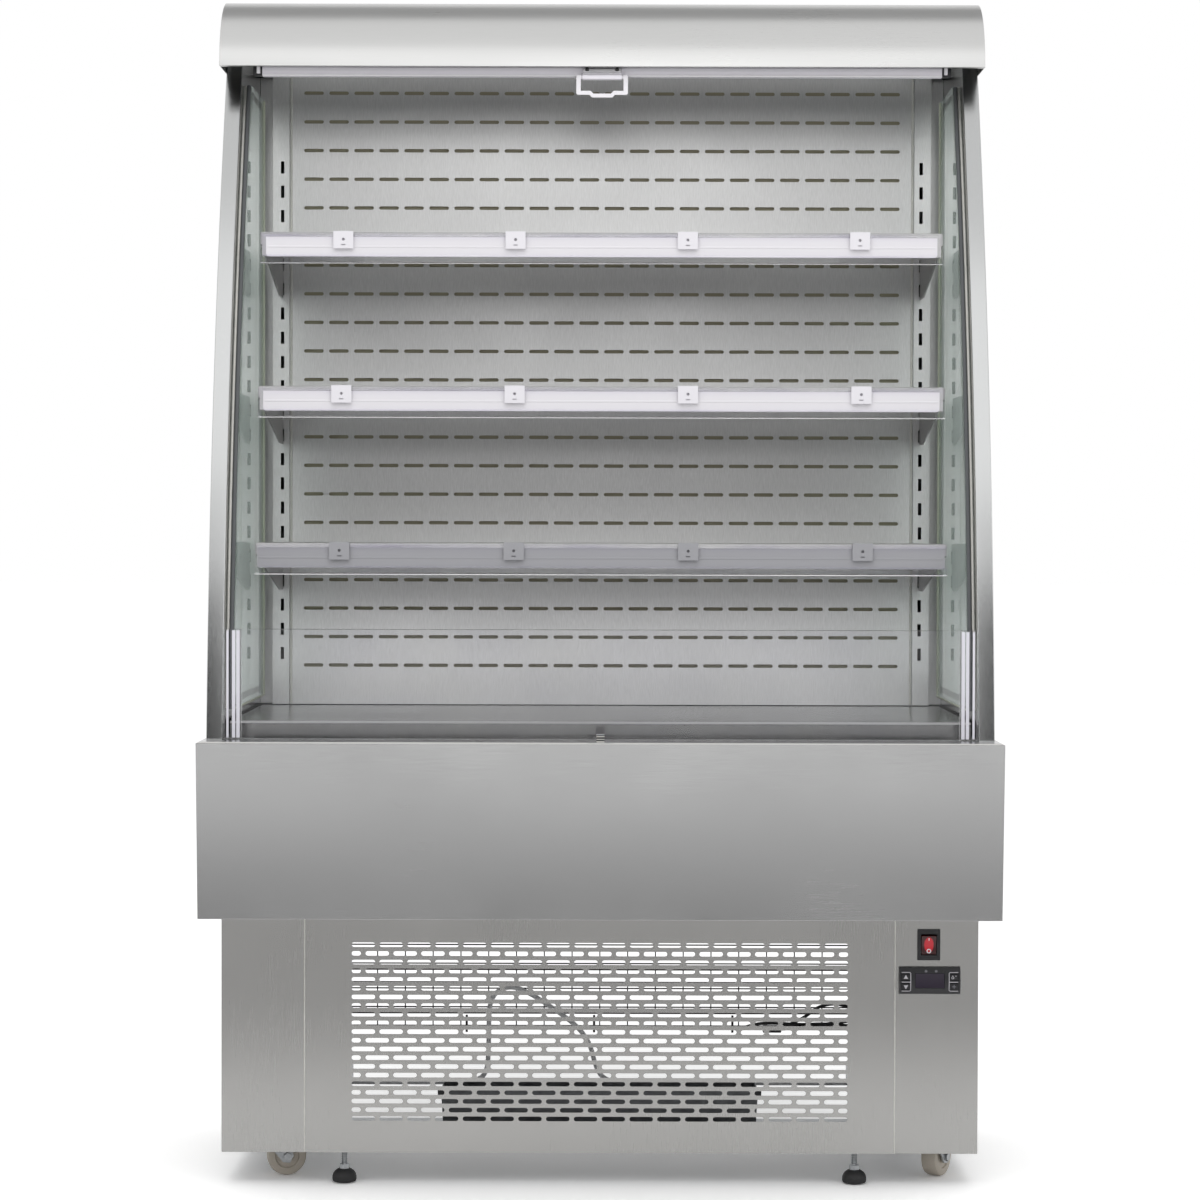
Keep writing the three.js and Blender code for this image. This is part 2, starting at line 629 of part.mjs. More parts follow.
// Pitched blades on a hub; the axis runs through the origin along Z.
function fanRotor(radius, blades, deep) {
  const hub = radius * 0.24;
  const pitch = THREE.MathUtils.degToRad(28);
  const blade = outline([[hub * 0.6, -hub * 0.5], [radius * 0.72, -radius * 0.3], [radius, -radius * 0.12],
    [radius * 0.96, radius * 0.24], [radius * 0.6, radius * 0.26], [hub * 0.6, hub * 0.5]]);
  const thick = 1.4;
  const one = new THREE.ExtrudeGeometry(blade, { depth: thick, bevelEnabled: false });
  one.translate(0, 0, -thick / 2).rotateX(pitch);
  const fans = Array.from({ length: blades }, (_, i) => one.clone().rotateZ((i * 2 * Math.PI) / blades));
  return join(alongZ(circle(hub, 8), [-deep / 2, deep / 2]), ...fans);
}

const EVAPORATOR_FAN = { x: 190, y: -158, z: 484, radius: 66 };

function evaporatorFanPlate() {
  const half = INSIDE - TUB_WALL - 1;
  const { x, y, z, radius } = EVAPORATOR_FAN;
  const front = y + 22;
  const face = alongY(rectangle([-half, half], [WELL_FLOOR + 0.5, LEDGE_Z - 3]), [front, front + SHEET],
    [circle(radius + 4, 14, x, z), circle(radius + 4, 14, -x, z)]);
  const strut = (sx) => box([sx - radius - 6, sx + radius + 6], [front + 1, front + 5], [z - 7, z + 7]);
  const motor = (sx) => alongY(circle(20, 8, sx, z), [front - 8, front + 24]);
  return join(face, strut(x), strut(-x), motor(x), motor(-x));
}

function evaporatorCoil() {
  const half = 372;
  const profile = finnedCoil([-half, half], [-104, 20], 14, 24);
  const plate = (x) => box([x - 1, x + 1], [-108, 24], [402, 548]);
  return join(alongZ(profile, [410, 542]), plate(half + 0.5), plate(-half - 0.5));
}

function drainSpout() {
  const { x, y, outer, inner, low } = DRAIN;
  const flange = WELL_FLOOR + 0.5;
  const top = flange + 2.5;
  const profile = [
    [inner, low], [outer, low], [outer, flange], [outer + 6, flange], [outer + 6, top], [inner, top],
    [inner, low],
  ];
  return lathe(profile, 12).translate(x, y, 0);
}

// The discharge line: low behind the tray, with one loop that takes up the compressor's shaking.
const REFRIGERANT_ROUTE = [
  [-361, 60, 107], [-320, 60, 106.5], [-250, 60, 106.5], [-190, 60, 106.5], [-160, 60, 109], [-148, 60, 124],
  [-145, 60, 150], [-145, 62, 184], [-143, 64, 212], [-132, 66, 227], [-112, 66, 231], [-92, 65, 223],
  [-68, 63, 208], [-46, 62, 193], [-26, 60, 177], [-12, 60, 156], [-5, 60, 130], [6, 60, 112], [28, 60, 107],
  [100, 60, 106.5], [180, 60, 106.5], [260, 60, 106.5], [320, 60, 106.5], [349.4, 60, 107],
];

add('compressor', compressor(), BLACK);
add('condenser_coil', condenserCoil(), ALUMINIUM);
add('condenser_shroud', condenserShroud(), ZINC);
add('evaporator_coil', evaporatorCoil(), ALUMINIUM);
add('evaporator_fan_plate', evaporatorFanPlate(), ALUMINIUM);
add('drain_spout', drainSpout(), BLACK);
add('refrigerant_tube', tube(REFRIGERANT_ROUTE, 3.2, 6, 54), ZINC);

const condenserFan = add('condenser_fan', fanRotor(CONDENSER_FAN.radius, 4, 16), BLACK);
condenserFan.rotation.set(0, Math.PI / 2, 0);
condenserFan.position.set(CONDENSER_FAN.x - 7, CONDENSER_FAN.y, CONDENSER_FAN.z);

for (const [side, sign] of [['right', 1], ['left', -1]]) {
  const fan = add(`evaporator_fan_${side}`, fanRotor(EVAPORATOR_FAN.radius, 4, 12), BLACK);
  fan.rotation.set(-Math.PI / 2, 0, 0);
  fan.position.set(sign * EVAPORATOR_FAN.x, EVAPORATOR_FAN.y, EVAPORATOR_FAN.z);
}

// ---------------------------------------------------------------- switch and controller
function switchBezel() {
  const { x, z, wide, high } = SWITCH;
  const face = BASE_FRONT - GAP;
  const mouth = { x: 9.8, z: 13 };
  const outside = (inset) => rectangle(
    [x - wide / 2 + inset, x + wide / 2 - inset], [z - high / 2 + inset, z + high / 2 - inset]);
  const inside = rectangle([x - mouth.x, x + mouth.x], [z - mouth.z, z + mouth.z]);
  const rim = alongY(outside(0), [face - 2, face], [inside]);
  const can = alongY(outside(2.4), [face - 0.2, face + 26]);
  return join(rim, cut(can, alongY(inside, [face - 3, face + 16])));
}

// The rocker rests with its upper half in: two faces that meet in a shallow valley on the pivot.
function rocker() {
  const profile = [
    [-3.2, -12], [-1.2, 0], [-3.2, 12], [3, 12.2], [9, 4], [9, -4], [3, -12.2],
  ];
  return alongX(profile, [-9.4, 9.4]);
}

const KEYS = [
  { name: 'key_up', dx: -30.4, dz: 4.4 }, { name: 'key_down', dx: -30.4, dz: -7.2 },
  { name: 'key_set', dx: 30.4, dz: 4.4 }, { name: 'key_defrost', dx: 30.4, dz: -7.2 },
];
const KEY_HALF = { x: 5.2, z: 4.2 };

function controllerCase() {
  const { x, z, wide, high } = CONTROLLER;
  const face = BASE_FRONT - GAP;
  const bulge = [
    [face, z - high / 2], [face - 4, z - high / 2 + 1], [face - 6, z - high / 4], [face - 6.6, z],
    [face - 6, z + high / 4], [face - 4, z + high / 2 - 1], [face, z + high / 2],
  ];
  const front = alongX(bulge, [x - wide / 2, x + wide / 2]);
  const can = box([x - 34, x + 34], [face - 0.5, face + 52], [z - 13, z + 13]);
  const well = ({ dx, dz }) => box(
    [x + dx - KEY_HALF.x - GAP, x + dx + KEY_HALF.x + GAP], [face - 9, face - 3.2],
    [z + dz - KEY_HALF.z - GAP, z + dz + KEY_HALF.z + GAP]);
  const display = box([x - 18.5, x + 18.5], [face - 9, face - 4.6], [z - 9.4, z + 9.4]);
  return cut(join(front, can), display, ...KEYS.map(well));
}

add('switch_bezel', switchBezel(), BLACK);
const rockerMesh = add('power_rocker', rocker(), RED);
rockerMesh.position.set(SWITCH.x, BASE_FRONT - 0.6, SWITCH.z);
rockerMesh.rotation.set(THREE.MathUtils.degToRad(7), 0, 0);
add('controller_case', controllerCase(), BLACK);
for (const { name, dx, dz } of KEYS) {
  const root = BASE_FRONT - GAP - 4.3;
  const tip = root - 2.6;
  const x = CONTROLLER.x + dx;
  const z = CONTROLLER.z + dz;
  const cap = [
    [root, z - KEY_HALF.z], [tip, z - KEY_HALF.z + 0.6], [tip, z + KEY_HALF.z - 0.6], [root, z + KEY_HALF.z],
  ];
  add(name, alongX(cap, [x - KEY_HALF.x, x + KEY_HALF.x]), BLACK);
}

// ---------------------------------------------------------------- castors and levelling feet
// Local frame: the swivel axis is Z, the wheel trails along +X, the floor is Z = 0.
function castorFork() {
  const leg = [
    [-15, 58], [15, 58], [CASTOR_TRAIL + 8, 26], [CASTOR_TRAIL + 3, 17], [CASTOR_TRAIL - 6, 18], [-10, 46],
  ];
  return join(
    alongY(leg, [12.6, 14.8]), alongY(leg, [-14.8, -12.6]),
    box([-15, 15], [-14.8, 14.8], [55.6, 58]),
    alongZ(circle(15, 10), [57.8, FRAME_Z - 2.8]),
    alongY(circle(3, 6, CASTOR_TRAIL, WHEEL_RADIUS), [-14, 14]),
    alongY(circle(5.6, 6, CASTOR_TRAIL, WHEEL_RADIUS), [-17.6, -14.6]),
    alongY(circle(5.6, 6, CASTOR_TRAIL, WHEEL_RADIUS), [14.6, 17.6]),
  );
}

function castorWheel() {
  const profile = [
    [3.4, -9.6], [15, -9.6], [22.4, -10.6], [WHEEL_RADIUS, -7], [WHEEL_RADIUS, 7], [22.4, 10.6], [15, 9.6],
    [3.4, 9.6], [3.4, -9.6],
  ];
  return lathe(profile, 14).rotateX(Math.PI / 2);
}

function levellingFoot() {
  const pad = lathe([[0, 0], [11, 0], [15, 2.6], [15.5, 7], [13.4, 12.6], [9, 16.4], [0, 17]], 12);
  return join(pad, alongZ(circle(6.9, 6), [16, 23]), alongZ(circle(4, 6), [12, 96]));
}

for (const { name, x, y, turn } of CASTORS) {
  const castor = new THREE.Group();
  const fork = new THREE.Mesh(castorFork(), new THREE.MeshStandardMaterial(ZINC));
  const wheel = new THREE.Mesh(castorWheel(), new THREE.MeshStandardMaterial(NYLON));
  fork.name = `castor_fork_${name}`;
  wheel.name = `castor_wheel_${name}`;
  wheel.position.set(CASTOR_TRAIL, 0, WHEEL_RADIUS);
  castor.add(fork, wheel);
  castor.position.set(x, y, 0);
  castor.rotation.set(0, 0, THREE.MathUtils.degToRad(turn));
  fridge.add(castor);
}

addPair('levelling_foot', levellingFoot().translate(FOOT_X, FOOT_Y, 0), RUBBER);

// ---------------------------------------------------------------- night blind
function blindRoller() {
  const { y, z, radius, half } = ROLLER;
  const roll = alongX(circle(radius, 16, y, z), [-half, half]);
  const bore = (x0, x1) => alongX(circle(3.8, 8, y, z), [x0, x1]);
  return cut(roll, bore(half - 14, half + 2), bore(-half - 2, 14 - half));
}

// Bottom bar with the clip that carries the pull handle's pivot.
function blindBar() {
  const { y, z, half } = BAR;
  const section = [
    [y - 6, z - 6], [y + 6, z - 6], [y + 6, z + 5], [y + 3, z + 7], [y - 3, z + 7], [y - 6, z + 5],
  ];
  const clip = [
    [y - 5.8, z + 3], [y - 8.6, z + 3], [y - 8.6, z - 1], [HANDLE_PIVOT.y - 3.4, HANDLE_PIVOT.z + 2],
    [HANDLE_PIVOT.y - 3.4, HANDLE_PIVOT.z - 2.4], [HANDLE_PIVOT.y + 1, HANDLE_PIVOT.z - 3.6],
    [HANDLE_PIVOT.y + 3.6, HANDLE_PIVOT.z - 1.4], [y - 5.8, z - 4],
  ];
  const clipHalf = 24.6;
  const socket = (x0, x1) => alongX(circle(2.5, 8, HANDLE_PIVOT.y, HANDLE_PIVOT.z), [x0, x1]);
  const whole = join(alongX(section, [-half, half]), alongX(clip, [-clipHalf, clipHalf]));
  return cut(whole, socket(19, 26), socket(-26, -19));
}

// A bail: two arms with pivot stubs, and a crossbar that steps down in the middle.
function pullHandle() {
  const { y, z } = HANDLE_PIVOT;
  const half = 32.4;
  const arm = 5.6;
  const low = z - 22;
  const right = [
    [26, z + 2.6], [half - 1.4, z + 2.6], [half, z + 1], [half, low + 1.6], [half - 1.6, low], [16, low],
    [12.6, low - 3.4],
  ];
  const back = [
    [11, low + 1.4], [14.4, low + 5], [half - arm, low + 5], [half - arm, z - 2.6], [26, z - 2.6],
  ];
  const flip = (points) => points.map(([a, b]) => [-a, b]).reverse();
  const plate = alongY([...right, ...flip(right), ...flip(back), ...back], [y - 2.2, y + 2.2]);
  const stub = (x0, x1) => alongX(circle(2.1, 8, y, z), [x0, x1]);
  return join(plate, stub(20, 27.5), stub(-27.5, -20));
}

// The short drop of cloth in view at rest, between the bar and the roller.
function blindCloth() {
  const half = BAR.half - 7;
  return box([-half, half], [BAR.y + 0.8, BAR.y + 1.6], [BAR.z + 7.3, ROLLER.z - 4]);
}

add('blind_roller', blindRoller(), CLOTH);
add('blind_bar', blindBar(), WHITE);
add('pull_handle', pullHandle(), WHITE);
add('blind_cloth', blindCloth(), CLOTH);

export default fridge;
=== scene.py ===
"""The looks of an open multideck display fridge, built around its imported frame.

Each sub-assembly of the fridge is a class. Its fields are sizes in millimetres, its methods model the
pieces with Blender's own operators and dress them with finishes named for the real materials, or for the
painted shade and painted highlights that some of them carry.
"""

import logging
import math
from dataclasses import dataclass
from enum import Enum
from typing import Any, Callable, Sequence

import bmesh
import bpy
from mathutils import Matrix, Vector


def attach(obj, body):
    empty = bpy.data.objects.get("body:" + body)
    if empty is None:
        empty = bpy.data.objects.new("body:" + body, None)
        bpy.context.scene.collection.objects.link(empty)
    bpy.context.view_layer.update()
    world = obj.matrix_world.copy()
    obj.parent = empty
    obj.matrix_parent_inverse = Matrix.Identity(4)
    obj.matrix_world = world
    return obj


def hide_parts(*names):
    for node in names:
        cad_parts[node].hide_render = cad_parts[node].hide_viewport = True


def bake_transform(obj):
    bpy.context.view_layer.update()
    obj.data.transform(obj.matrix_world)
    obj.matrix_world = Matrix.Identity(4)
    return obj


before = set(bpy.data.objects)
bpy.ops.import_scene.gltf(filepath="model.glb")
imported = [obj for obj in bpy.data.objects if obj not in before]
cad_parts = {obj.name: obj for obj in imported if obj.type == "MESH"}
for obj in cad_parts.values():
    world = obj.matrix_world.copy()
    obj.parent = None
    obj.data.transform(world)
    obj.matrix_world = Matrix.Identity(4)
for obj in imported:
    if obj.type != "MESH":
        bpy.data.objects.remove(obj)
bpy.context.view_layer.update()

MM = 0.001
WAVE_UNIT = 0.314  # metres from band to band of a Wave texture whose scale is 1
MERGE = 2e-6  # metres: corners of a solid's copy that lie nearer than this are one
FLAT = math.radians(0.5)  # faces of a solid's copy that differ less than this become one
SHARP = math.radians(30)  # edges sharper than this are rounded
CRISP = math.radians(35)  # edges sharper than this aren't shaded smooth
UPRIGHT = math.pi / 2  # the turn about X that stands a flat piece up, facing the front
Point = tuple[float, float, float]
Object = bpy.types.Object
Edge = bmesh.types.BMEdge
Tree = bpy.types.NodeTree
Socket = bpy.types.NodeSocket
SIDES = (("right", 1), ("left", -1))  # the fridge's own halves, with the sign of their X
log = logging.getLogger("fridge")


# ---------------------------------------------------------------------------- finishes
def linear(hex_colour: str) -> tuple[float, float, float, float]:
    """Turns an sRGB colour written as six hex digits into linear RGBA.

    Args:
        hex_colour: The colour, such as "a4a3a0".

    Returns:
        The linear colour with an alpha of 1.
    """
    channels = [int(hex_colour[i : i + 2], 16) / 255 for i in (0, 2, 4)]
    straight = [c / 12.92 if c <= 0.04045 else ((c + 0.055) / 1.055) ** 2.4 for c in channels]
    return (straight[0], straight[1], straight[2], 1.0)


def add_node(
    tree: Tree, kind: str, inputs: dict[Any, Any] | None = None, **settings: Any
) -> bpy.types.Node:
    """Adds one shader node, with its settings, its values and its links.

    Args:
        tree: The node tree to add to.
        kind: The node's type, such as "ShaderNodeTexNoise".
        inputs: Socket name or number to a value, or to the output socket that feeds it.
        **settings: Properties of the node itself.

    Returns:
        The new node.
    """
    made = tree.nodes.new(kind)
    for key, value in settings.items():
        setattr(made, key, value)
    for key, value in (inputs or {}).items():
        if isinstance(value, Socket):
            tree.links.new(value, made.inputs[key])
        else:
            made.inputs[key].default_value = value
    return made


def blank(holder: bpy.types.Material | bpy.types.World) -> Tree:
    """Turns on the nodes of a material or world and clears them.

    Args:
        holder: The material or world.

    Returns:
        Its empty node tree.
    """
    holder.use_nodes = True
    holder.node_tree.nodes.clear()
    return holder.node_tree


def ray_is(tree: Tree, *kinds: str) -> Socket:
    """Tells rays of some kinds from all others.

    Args:
        tree: The node tree.
        *kinds: Outputs of the Light Path node, such as "Is Camera Ray".

    Returns:
        A socket that is 1 for these rays and 0 for others.
    """
    rays = add_node(tree, "ShaderNodeLightPath").outputs
    share = rays[kinds[0]]
    for kind in kinds[1:]:
        either = add_node(tree, "ShaderNodeMath", {0: share, 1: rays[kind]}, operation="MAXIMUM")
        share = either.outputs["Value"]
    return share


class Grain(Enum):
    """The direction that a sheet was brushed in: how much finer the scratches are along X, Y and Z."""

    ACROSS = (1.0, 40.0, 40.0)
    UPRIGHT = (40.0, 40.0, 1.0)


@dataclass(frozen=True)
class Finish:
    """What every finish has: a name, the record's material slot, a colour and a roughness."""

    name: str
    slot: str
    colour: str
    roughness: float

    def material(self) -> bpy.types.Material:
        """Finds or builds this finish's material.

        Returns:
            The Blender material, built once for each finish.
        """
        known = bpy.data.materials.get(self.name)
        if known is not None:
            return known
        made = bpy.data.materials.new(self.name)
        tree = blank(made)
        plain = {"Base Color": linear(self.colour), "Roughness": self.roughness}
        shader = add_node(tree, "ShaderNodeBsdfPrincipled", plain)
        add_node(tree, "ShaderNodeOutputMaterial", {"Surface": shader.outputs["BSDF"]})
        self.dress(tree, shader)
        return made

    def dress(self, tree: Tree, shader: bpy.types.Node) -> None:
        """Adds the nodes of this finish; the plain finish has none.

        Args:
            tree: The material's node tree.
            shader: Its Principled shader.
        """

    def own(self, tree: Tree) -> Socket:
        """Gives the piece's own coordinates, in metres."""
        return add_node(tree, "ShaderNodeTexCoord").outputs["Object"]

    def noise(self, tree: Tree, size_mm: float, stretch: Point = (1, 1, 1), detail: float = 2.0) -> Socket:
        """Adds a noise pattern of a real size on the piece's own coordinates.

        Args:
            tree: The node tree.
            size_mm: The width of one grain in millimetres.
            stretch: How many times finer the pattern is along X, Y and Z.
            detail: Octaves of finer noise.

        Returns:
            The pattern's socket, from 0 to 1.
        """
        scale = [s / (size_mm * MM) for s in stretch]
        mapped = add_node(tree, "ShaderNodeMapping", {"Vector": self.own(tree), "Scale": scale})
        pattern = {"Vector": mapped.outputs["Vector"], "Scale": 1.0, "Detail": detail}
        return add_node(tree, "ShaderNodeTexNoise", pattern).outputs["Fac"]

    def spread(self, tree: Tree, source: Socket, low: float, high: float) -> Socket:
        """Maps a pattern's middle values, 0.3 to 0.7, onto a range.

        Args:
            tree: The node tree.
            source: The pattern, from 0 to 1.
            low: The value at 0.3 and below.
            high: The value at 0.7 and above.

        Returns:
            The mapped value's socket.
        """
        ranged = {"Value": source, "From Min": 0.3, "From Max": 0.7, "To Min": low, "To Max": high}
        return add_node(tree, "ShaderNodeMapRange", ranged).outputs["Result"]

    def tone(self, tree: Tree, source: Socket, dark: str, light: str) -> Socket:
        """Mixes two colours by a pattern.

        Args:
            tree: The node tree.
            source: The share of the light colour, from 0 to 1.
            dark: Hex colour at 0.
            light: Hex colour at 1.

        Returns:
            The colour's socket.
        """
        mixed = add_node(tree, "ShaderNodeMix", {"Factor": source}, data_type="RGBA")
        mixed.inputs["A"].default_value = linear(dark)
        mixed.inputs["B"].default_value = linear(light)
        return mixed.outputs["Result"]

    def bump(self, tree: Tree, shader: bpy.types.Node, source: Socket, depth_mm: float) -> None:
        """Raises the surface by a pattern.

        Args:
            tree: The node tree.
            shader: The shader whose normal is bent.
            source: The pattern, from 0 to 1.
            depth_mm: The height of the relief in millimetres.
        """
        relief = {"Height": source, "Distance": depth_mm * MM, "Strength": 1.0}
        raised = add_node(tree, "ShaderNodeBump", relief)
        tree.links.new(raised.outputs["Normal"], shader.inputs["Normal"])


@dataclass(frozen=True)
class BrushedStainless(Finish):
    """AISI 304 sheet, belt-brushed: fine scratches blur reflections and give a silky, almost even grey."""

    grain: Grain = Grain.ACROSS
    light: str = "c8c8c6"
    contrast: float = 0.3  # how far the scratches part the two tones
    scratch_mm: float = 34.0  # length of a scratch; its width is a fortieth, coarse enough to show
    relief_mm: float = 0.004
    cloud_mm: float = 180.0
    unevenness: float = 0.02  # how far the roughness strays

    def dress(self, tree: Tree, shader: bpy.types.Node) -> None:
        """Adds the brushing, a cloudy variation in shine and the metal's own values.

        Args:
            tree: The material's node tree.
            shader: Its Principled shader.
        """
        scratches = self.noise(tree, self.scratch_mm, self.grain.value, 3.0)
        clouds = self.noise(tree, self.cloud_mm)
        share = self.spread(tree, scratches, 0.5 - self.contrast / 2, 0.5 + self.contrast / 2)
        tree.links.new(self.tone(tree, share, self.colour, self.light), shader.inputs["Base Color"])
        base = self.spread(tree, clouds, self.roughness - self.unevenness, self.roughness + self.unevenness)
        fine = self.spread(tree, scratches, -self.unevenness, self.unevenness)
        total = add_node(tree, "ShaderNodeMath", {0: base, 1: fine}, operation="ADD")
        tree.links.new(total.outputs["Value"], shader.inputs["Roughness"])
        shader.inputs["Metallic"].default_value = 1.0
        self.bump(tree, shader, scratches, self.relief_mm)


@dataclass(frozen=True)
class ZincPlate(Finish):
    """Zinc-plated mild steel: a dull even silver with faint cloudy patches."""

    patch_mm: float = 9.0
    light: str = "c2c4c6"

    def dress(self, tree: Tree, shader: bpy.types.Node) -> None:
        """Adds the cloudy patches of the plating.

        Args:
            tree: The material's node tree.
            shader: Its Principled shader.
        """
        patches = self.noise(tree, self.patch_mm, detail=4.0)
        share = self.spread(tree, patches, 0.0, 1.0)
        tree.links.new(self.tone(tree, share, self.colour, self.light), shader.inputs["Base Color"])
        dullness = self.spread(tree, patches, self.roughness - 0.06, self.roughness + 0.08)
        tree.links.new(dullness, shader.inputs["Roughness"])
        shader.inputs["Metallic"].default_value = 0.9


@dataclass(frozen=True)
class PerforatedSpacer(Finish):
    """Rolled aluminium spacer bar: a pale satin face pricked with rows of small dark breathing holes."""

    pitch_mm: float = 3.4
    hole: float = 0.22  # radius of a hole as a share of the pitch
    hole_colour: str = "3c3c3b"

    def dress(self, tree: Tree, shader: bpy.types.Node) -> None:
        """Adds the holes as an even grid of dark dots.

        Args:
            tree: The material's node tree.
            shader: Its Principled shader.
        """
        grid = {"Vector": self.own(tree), "Scale": 1 / (self.pitch_mm * MM), "Randomness": 0.0}
        far = add_node(tree, "ShaderNodeTexVoronoi", grid).outputs["Distance"]
        solid = add_node(tree, "ShaderNodeMath", {0: far, 1: self.hole}, operation="GREATER_THAN")
        dots = self.tone(tree, solid.outputs["Value"], self.hole_colour, self.colour)
        tree.links.new(dots, shader.inputs["Base Color"])
        shader.inputs["Metallic"].default_value = 0.3


@dataclass(frozen=True)
class MouldedPlastic(Finish):
    """Injection-moulded ABS or nylon: even colour with the tool's fine spark-eroded grain."""

    grain_mm: float = 0.9
    relief_mm: float = 0.02

    def dress(self, tree: Tree, shader: bpy.types.Node) -> None:
        """Adds the tool's grain and a slight mottle in shine.

        Args:
            tree: The material's node tree.
            shader: Its Principled shader.
        """
        grain = self.noise(tree, self.grain_mm, detail=2.0)
        mottle = self.spread(tree, self.noise(tree, 25.0), self.roughness - 0.04, self.roughness + 0.05)
        tree.links.new(mottle, shader.inputs["Roughness"])
        self.bump(tree, shader, grain, self.relief_mm)


@dataclass(frozen=True)
class ClearSheet(Finish):
    """Float glass, cast acrylic or extruded PVC: clear right through, with bright polished edges."""

    ior: float = 1.49
    shine: float = 0.5  # half of it halves what the face mirrors when seen straight on
    straight: float = 0.0  # share of the light that passes without bending, for panes seen at a low angle

    def dress(self, tree: Tree, shader: bpy.types.Node) -> None:
        """Adds the transmission, a tint too faint to blur what lies behind, and no shadow of its own.

        Args:
            tree: The material's node tree.
            shader: Its Principled shader.
        """
        tint = self.spread(tree, self.noise(tree, 120.0), 0.0, 1.0)
        tree.links.new(self.tone(tree, tint, self.colour, "ffffff"), shader.inputs["Base Color"])
        shader.inputs["Transmission Weight"].default_value = 1.0
        shader.inputs["IOR"].default_value = self.ior
        shader.inputs["Specular IOR Level"].default_value = self.shine
        lights = ray_is(tree, "Is Shadow Ray", "Is Diffuse Ray")
        through = add_node(tree, "ShaderNodeMath", {0: lights, 1: self.straight}, operation="MAXIMUM")
        air = add_node(tree, "ShaderNodeBsdfTransparent", {"Color": linear(self.colour)})
        shares = {0: through.outputs["Value"], 1: shader.outputs["BSDF"], 2: air.outputs["BSDF"]}
        mixed = add_node(tree, "ShaderNodeMixShader", shares)
        output = next(node for node in tree.nodes if node.type == "OUTPUT_MATERIAL")
        tree.links.new(mixed.outputs["Shader"], output.inputs["Surface"])


@dataclass(frozen=True)
class LitRocker(Finish):
    """Red polycarbonate over a small lamp: a bright upright window in a dark rim."""

    lit: str = "cc2030"
    centre_mm: Point = (414.8, -83.0, 307.0)
    window_mm: Point = (10.8, 40.0, 17.5)

    def dress(self, tree: Tree, shader: bpy.types.Node) -> None:
        """Adds the bright window as a soft-edged oval on the piece's own coordinates.

        Args:
            tree: The material's node tree.
            shader: Its Principled shader.
        """
        offset = [-c * MM for c in self.centre_mm]
        moved = add_node(tree, "ShaderNodeVectorMath", {0: self.own(tree), 1: offset}, operation="ADD")
        scale = [1 / (size * MM) for size in self.window_mm]
        oval = {0: moved.outputs["Vector"], 1: scale}
        sized = add_node(tree, "ShaderNodeVectorMath", oval, operation="MULTIPLY").outputs["Vector"]
        glow = add_node(tree, "ShaderNodeTexGradient", {"Vector": sized}, gradient_type="SPHERICAL")
        share = self.spread(tree, glow.outputs["Fac"], -1.0, 3.0)  # beyond 0 and 1, for a firm rim
        tree.links.new(self.tone(tree, share, self.colour, self.lit), shader.inputs["Base Color"])


@dataclass(frozen=True)
class WovenFoilBlind(Finish):
    """Aluminised polyester blind cloth: a close plain weave with a dull silver face."""

    light: str = "d6d6d8"
    thread_mm: float = 1.0  # coarser than the real 0.4 mm thread, so that it shows
    relief_mm: float = 0.05

    def dress(self, tree: Tree, shader: bpy.types.Node) -> None:
        """Adds the weave as two crossed sets of threads.

        Args:
            tree: The material's node tree.
            shader: Its Principled shader.
        """
        bands = {"Vector": self.own(tree), "Scale": WAVE_UNIT / (self.thread_mm * MM) / 2}
        warp, weft = (
            add_node(tree, "ShaderNodeTexWave", bands, bands_direction=way).outputs["Fac"]
            for way in ("X", "Z")
        )
        weave = add_node(tree, "ShaderNodeMath", {0: warp, 1: weft}, operation="MULTIPLY").outputs["Value"]
        tree.links.new(self.tone(tree, weave, self.colour, self.light), shader.inputs["Base Color"])
        self.bump(tree, shader, weave, self.relief_mm)
        shader.inputs["Metallic"].default_value = 0.3


# sheet steel: silky grey, streaked along its grain; on the liner, the coarse pale upright streaks are partly
# its mill-finish grain and partly painted streaks of light
HOOD_STEEL = BrushedStainless("hood_brushed_stainless", "steel", "c6c6c5", 0.30, Grain.ACROSS, "d2d2d1", 0.2)
FRAME_STEEL = BrushedStainless(
    "end_frame_brushed_stainless", "steel", "b4b5b5", 0.19, Grain.UPRIGHT, "c4c5c5", 0.2)
APRON_STEEL = BrushedStainless(
    "apron_brushed_stainless", "steel", "b4b4b4", 0.24, Grain.ACROSS, "c2c2c2", 0.2)
BASE_STEEL = BrushedStainless("base_brushed_stainless", "steel", "a9a8a6", 0.25, Grain.UPRIGHT, "b6b5b3", 0.3)
# partly real grain, partly painted light: strong pale upright streaks over the liner
LINER_STEEL = BrushedStainless(
    "liner_stainless_grain_and_painted_light_streaks", "steel", "cacac9", 0.36, Grain.UPRIGHT, "e2e2e2", 0.9, 9.0, 0.012)
# painted shade: the same stainless darkened for the shade on the deck and its riser
SHADED_DECK_STEEL = BrushedStainless(
    "deck_stainless_painted_shade", "steel", "747473", 0.22, Grain.ACROSS, "828281", 0.3, 34.0, 0.001)
SHELF_STEEL = BrushedStainless(
    "shelf_brushed_stainless", "steel", "a8a8a7", 0.34, Grain.ACROSS, "bebebd", 0.3)
CLIP_STEEL = BrushedStainless(
    "blind_clip_satin_aluminium", "white_plastic", "c4c3c6", 0.42, Grain.ACROSS, "d2d1d4", 0.3)
